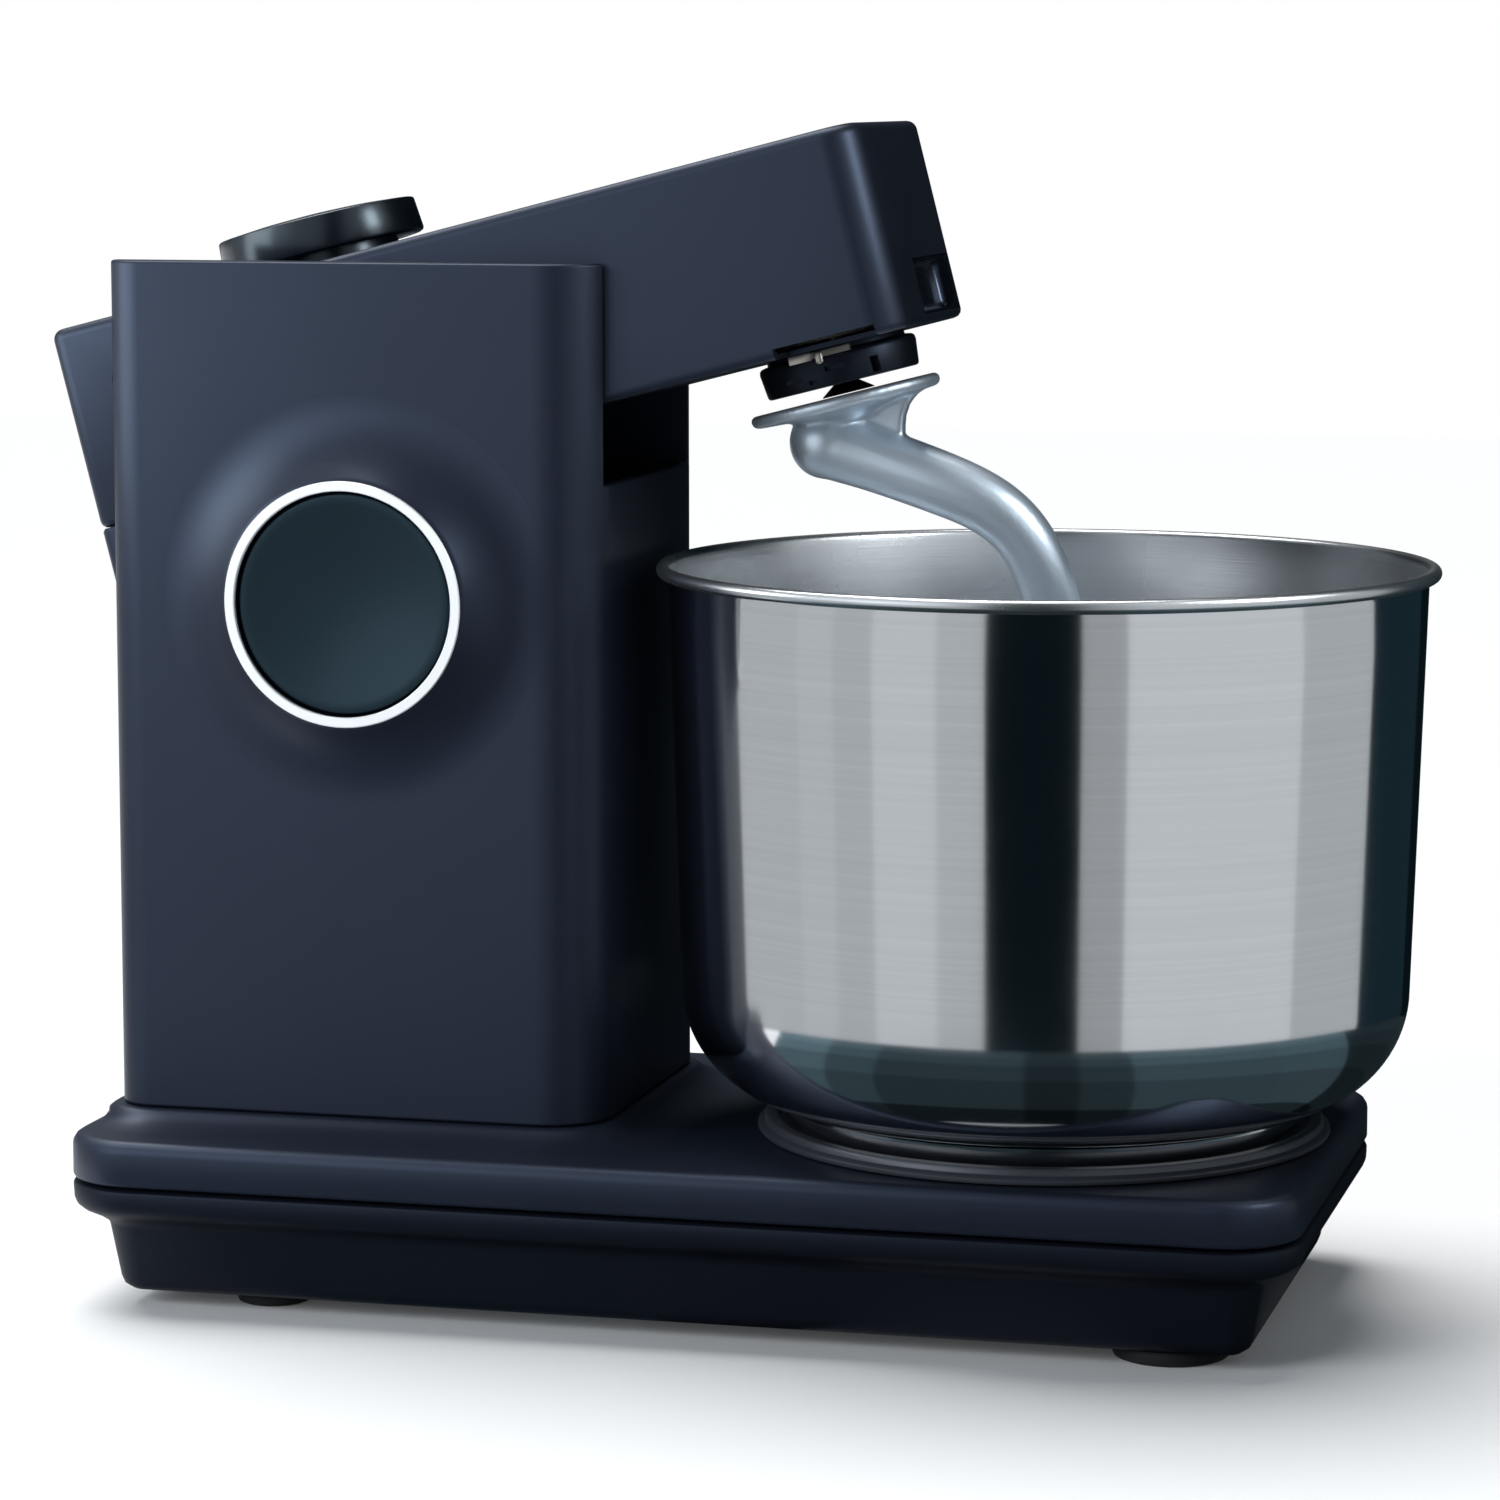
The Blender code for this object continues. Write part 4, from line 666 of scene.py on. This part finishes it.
# ------------------------------------------------------------------ dough hook
# The hook is one aluminium casting: a thin guard plate with a cone and a web below it, and a
# thick round rod that leaves through a bulb, bends down and spirals in under the hub.
CAST = grained("cast_aluminium", (0.58, 0.66, 0.74), 0.40, metallic=0.72, depth=0.20, drift=0.10, scale=1100)
hook = turned("hook", [(0, 0.1080), (0.0080, 0.1100), (0.0120, 0.1122), (0.0170, 0.1132), (0.0240, 0.1136),
                       (0.0288, 0.1139), (0.0301, 0.1146), (0.0306, 0.1156), (0.0306, 0.1168),
                       (0.0301, 0.1176),
                       (0.0292, 0.1180), (0, 0.1180)],
              CAST, "tool", ["dough_hook"], steps=128)
hook.location = (-0.0016, 0, 0)
bpy.ops.object.transform_apply(location=True, rotation=True, scale=True)
rod_points = [(-0.0135, 0.000, 0.1062, 1.14), (-0.0085, 0.000, 0.1032, 1.16), (-0.0030, 0.000, 0.0998, 1.10),
              (0.0070, 0.000, 0.0936, 1.06), (0.0215, 0.000, 0.0842, 1.05), (0.0345, 0.001, 0.0748, 1.00),
              (0.0425, 0.003, 0.0640, 0.96), (0.0462, 0.006, 0.0490, 0.93), (0.0450, 0.012, 0.0280, 0.93),
              (0.0370, 0.020, 0.0020, 0.92), (0.0230, 0.026, -0.0200, 0.90), (0.0040, 0.026, -0.0360, 0.86),
              (-0.0140, 0.018, -0.0420, 0.80), (-0.0260, 0.002, -0.0400, 0.72)]
way = bpy.data.curves.new("hook_way", "CURVE")
way.dimensions = "3D"
way.bevel_depth = 0.0097
way.bevel_resolution = 8
way.use_fill_caps = True
way.resolution_u = 10
line = way.splines.new("NURBS")
line.points.add(len(rod_points) - 1)
for point, (x, y, z, share) in zip(line.points, rod_points):
    point.co = (x, y, z, 1)
    point.radius = share
line.use_endpoint_u = True
line.order_u = 4
pick(linked("hook_rod", way))
bpy.ops.object.convert(target="MESH")
carve(hook, bpy.context.object, "UNION")
bpy.ops.mesh.primitive_uv_sphere_add(segments=64, ring_count=32, radius=0.0116,
                                     location=(-0.0110, 0, 0.1048))
carve(hook, bpy.context.object, "UNION")
web = bpy.data.meshes.new("hook_web")
side = [(0.0284, 0.1150), (0.0250, 0.1142), (0.0210, 0.1126), (0.0180, 0.1102), (0.0158, 0.1068),
        (0.0146, 0.1030), (0.0136, 0.0985), (0.0060, 0.0950), (-0.0060, 0.1040), (-0.0080, 0.1150)]
WEB_HALF = 0.0030
web.from_pydata([(x, -WEB_HALF, z) for x, z in side], [], [list(range(len(side)))])
gusset = linked("hook_web", web)
work_on(gusset)
bpy.ops.mesh.select_all(action="SELECT")
bpy.ops.mesh.extrude_region_move(TRANSFORM_OT_translate={"value": (0, 2 * WEB_HALF, 0)})
close_work(gusset)
carve(hook, gusset, "UNION")
pick(hook)
smoothing = hook.modifiers.new("casting_radius", "REMESH")
smoothing.mode = "VOXEL"
smoothing.voxel_size = 0.0009
bpy.ops.object.modifier_apply(modifier=smoothing.name)
blending = hook.modifiers.new("casting_blend", "SMOOTH")
blending.factor = 0.5
blending.iterations = 5
bpy.ops.object.modifier_apply(modifier=blending.name)
bpy.ops.object.shade_smooth()
hook.location = SPINDLE
bpy.ops.object.transform_apply(location=True, rotation=True, scale=True)
raise_with_arm(hook)

# ------------------------------------------------------------------ mixing bowl
# The bowl is drawn from stainless sheet, with a rolled rim and a round foot. Inside it is
# brushed round and round, and outside it is polished. The brushed steel on the inside, the rim's top
# and the inner floor also has a darker tint than the outside: painted shade.
def steel(name, roughness, lines, strength, tint=(0.72, 0.73, 0.75)):
    """Stainless steel with fine lines that run round the bowl's axis."""
    made, shader = fresh_material(name)
    nodes, links = made.node_tree.nodes, made.node_tree.links
    shader.inputs["Metallic"].default_value = 1.0
    place = nodes.new("ShaderNodeTexCoord")
    centre = nodes.new("ShaderNodeMapping")
    centre.inputs["Location"].default_value = (-BOWL_X, 0, 0)
    links.new(place.outputs["Object"], centre.inputs["Vector"])
    split = nodes.new("ShaderNodeSeparateXYZ")
    links.new(centre.outputs["Vector"], split.inputs["Vector"])
    flat = nodes.new("ShaderNodeCombineXYZ")
    links.new(split.outputs["X"], flat.inputs["X"])
    links.new(split.outputs["Y"], flat.inputs["Y"])
    reach = nodes.new("ShaderNodeVectorMath")
    reach.operation = "LENGTH"
    links.new(flat.outputs["Vector"], reach.inputs[0])
    turns = nodes.new("ShaderNodeCombineXYZ")
    links.new(reach.outputs["Value"], turns.inputs["X"])
    links.new(split.outputs["Z"], turns.inputs["Z"])
    marks = nodes.new("ShaderNodeTexNoise")
    marks.inputs["Scale"].default_value = lines
    marks.inputs["Detail"].default_value = 4.0
    links.new(turns.outputs["Vector"], marks.inputs["Vector"])
    smears = nodes.new("ShaderNodeTexNoise")
    smears.inputs["Scale"].default_value = 14.0
    smears.inputs["Detail"].default_value = 3.0
    links.new(centre.outputs["Vector"], smears.inputs["Vector"])
    tone = nodes.new("ShaderNodeValToRGB")
    tone.color_ramp.elements[0].position = 0.3
    tone.color_ramp.elements[0].color = (tint[0] * 0.93, tint[1] * 0.93, tint[2] * 0.93, 1)
    tone.color_ramp.elements[1].position = 0.7
    tone.color_ramp.elements[1].color = (*tint, 1)
    links.new(marks.outputs["Fac"], tone.inputs["Fac"])
    links.new(tone.outputs["Color"], shader.inputs["Base Color"])
    polish = nodes.new("ShaderNodeMath")
    polish.operation = "MULTIPLY_ADD"
    polish.inputs[1].default_value = 0.10
    polish.inputs[2].default_value = roughness - 0.05
    links.new(smears.outputs["Fac"], polish.inputs[0])
    links.new(polish.outputs[0], shader.inputs["Roughness"])
    bump = nodes.new("ShaderNodeBump")
    bump.inputs["Strength"].default_value = strength
    bump.inputs["Distance"].default_value = GRAIN_HEIGHT
    links.new(marks.outputs["Fac"], bump.inputs["Height"])
    links.new(bump.outputs["Normal"], shader.inputs["Normal"])
    return made


POLISHED = steel("steel_polished", 0.10, 500.0, 0.004)
# The inside's steel has real brushed lines, and a lower tint than the polished steel as painted shade.
BRUSHED_PAINTED_SHADE = steel("steel_brushed_painted_shade", 0.27, 1400.0, 0.16, tint=(0.63, 0.65, 0.67))
wall, low_r, sheet, floor_z = 0.1180, 0.1140, 0.0010, 0.0660
knee, wall_top = 0.0360, 0.2290
outer = [(0, floor_z)]
inner = [(0, floor_z + sheet)]
for k in range(21):
    angle = -math.pi / 2 + math.pi / 2 * k / 20
    outer.append((low_r - knee + knee * math.cos(angle), floor_z + knee + knee * math.sin(angle)))
    inner.append((low_r - knee + (knee - sheet) * math.cos(angle),
                  floor_z + knee + (knee - sheet) * math.sin(angle)))
for k in range(1, 9):
    share = k / 8
    height = floor_z + knee + (wall_top - floor_z - knee) * share
    outer.append((low_r + (wall - low_r) * share, height))
    inner.append((low_r - sheet + (wall - low_r) * share, height))
bead = 0.0021
bead_r, bead_z = 0.1197, 0.2324
roll = [(bead_r + bead * math.cos(a), bead_z + bead * math.sin(a))
        for a in (math.radians(-130 + 310 * k / 22) for k in range(23))]
bowl = turned("bowl", outer + roll + inner[::-1], POLISHED, "bowl", ["mixing_bowl"], steps=256,
              place=(BOWL_X, 0, 0), angle=50)
bowl.data.materials.append(BRUSHED_PAINTED_SHADE)
for face in bowl.data.polygons:
    away = Vector((face.center.x - BOWL_X, face.center.y, 0))
    if face.center.z > 0.2302 or face.normal.dot(away) < 0 or face.normal.z > 0.9:
        face.material_index = 1
turned("bowl_foot", [(0.0783, 0.0587), (0.0806, 0.0587), (0.0811, 0.0590), (0.0812, 0.0596), (0.0822, 0.0640),
                     (0.0824, 0.0649), (0.0821, 0.0655), (0.0812, 0.0657), (0.0783, 0.0657)],
       POLISHED, "bowl", ["bowl_foot_ring"], steps=200, place=(BOWL_X, 0, 0), closed=True)

# ------------------------------------------------------------------ pieces inside
# Shafts, springs, brackets, motor, gears and board are inside the housing. They keep their CAD
# shape and get plated steel, natural nylon, rubber or board laminate.
NYLON = grained("gear_nylon", (0.62, 0.60, 0.52), 0.45, depth=0.1)
BOARD = grained("board_green", (0.03, 0.13, 0.06), 0.45, depth=0.1)
for material, inside in (
        (PLATED, ("base_screw_1", "base_screw_2", "base_screw_3", "base_screw_4", "hinge_bracket_left",
                  "hinge_bracket_right", "hinge_shaft", "lift_spring", "button_spring", "motor_body",
                  "motor_plate", "motor_rotor", "hub_bearing", "carrier_shaft", "dial_shaft")),
        (NYLON, ("leg_bush_left", "leg_bush_right", "ring_gear", "planet_gear", "hub_pulley",
                 "filter_capacitor")),
        (RUBBER, ("drive_belt",)), (TRAY, ("speed_switch",)), (BOARD, ("control_board",))):
    for node in inside:
        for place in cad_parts[node].material_slots:
            place.material = material
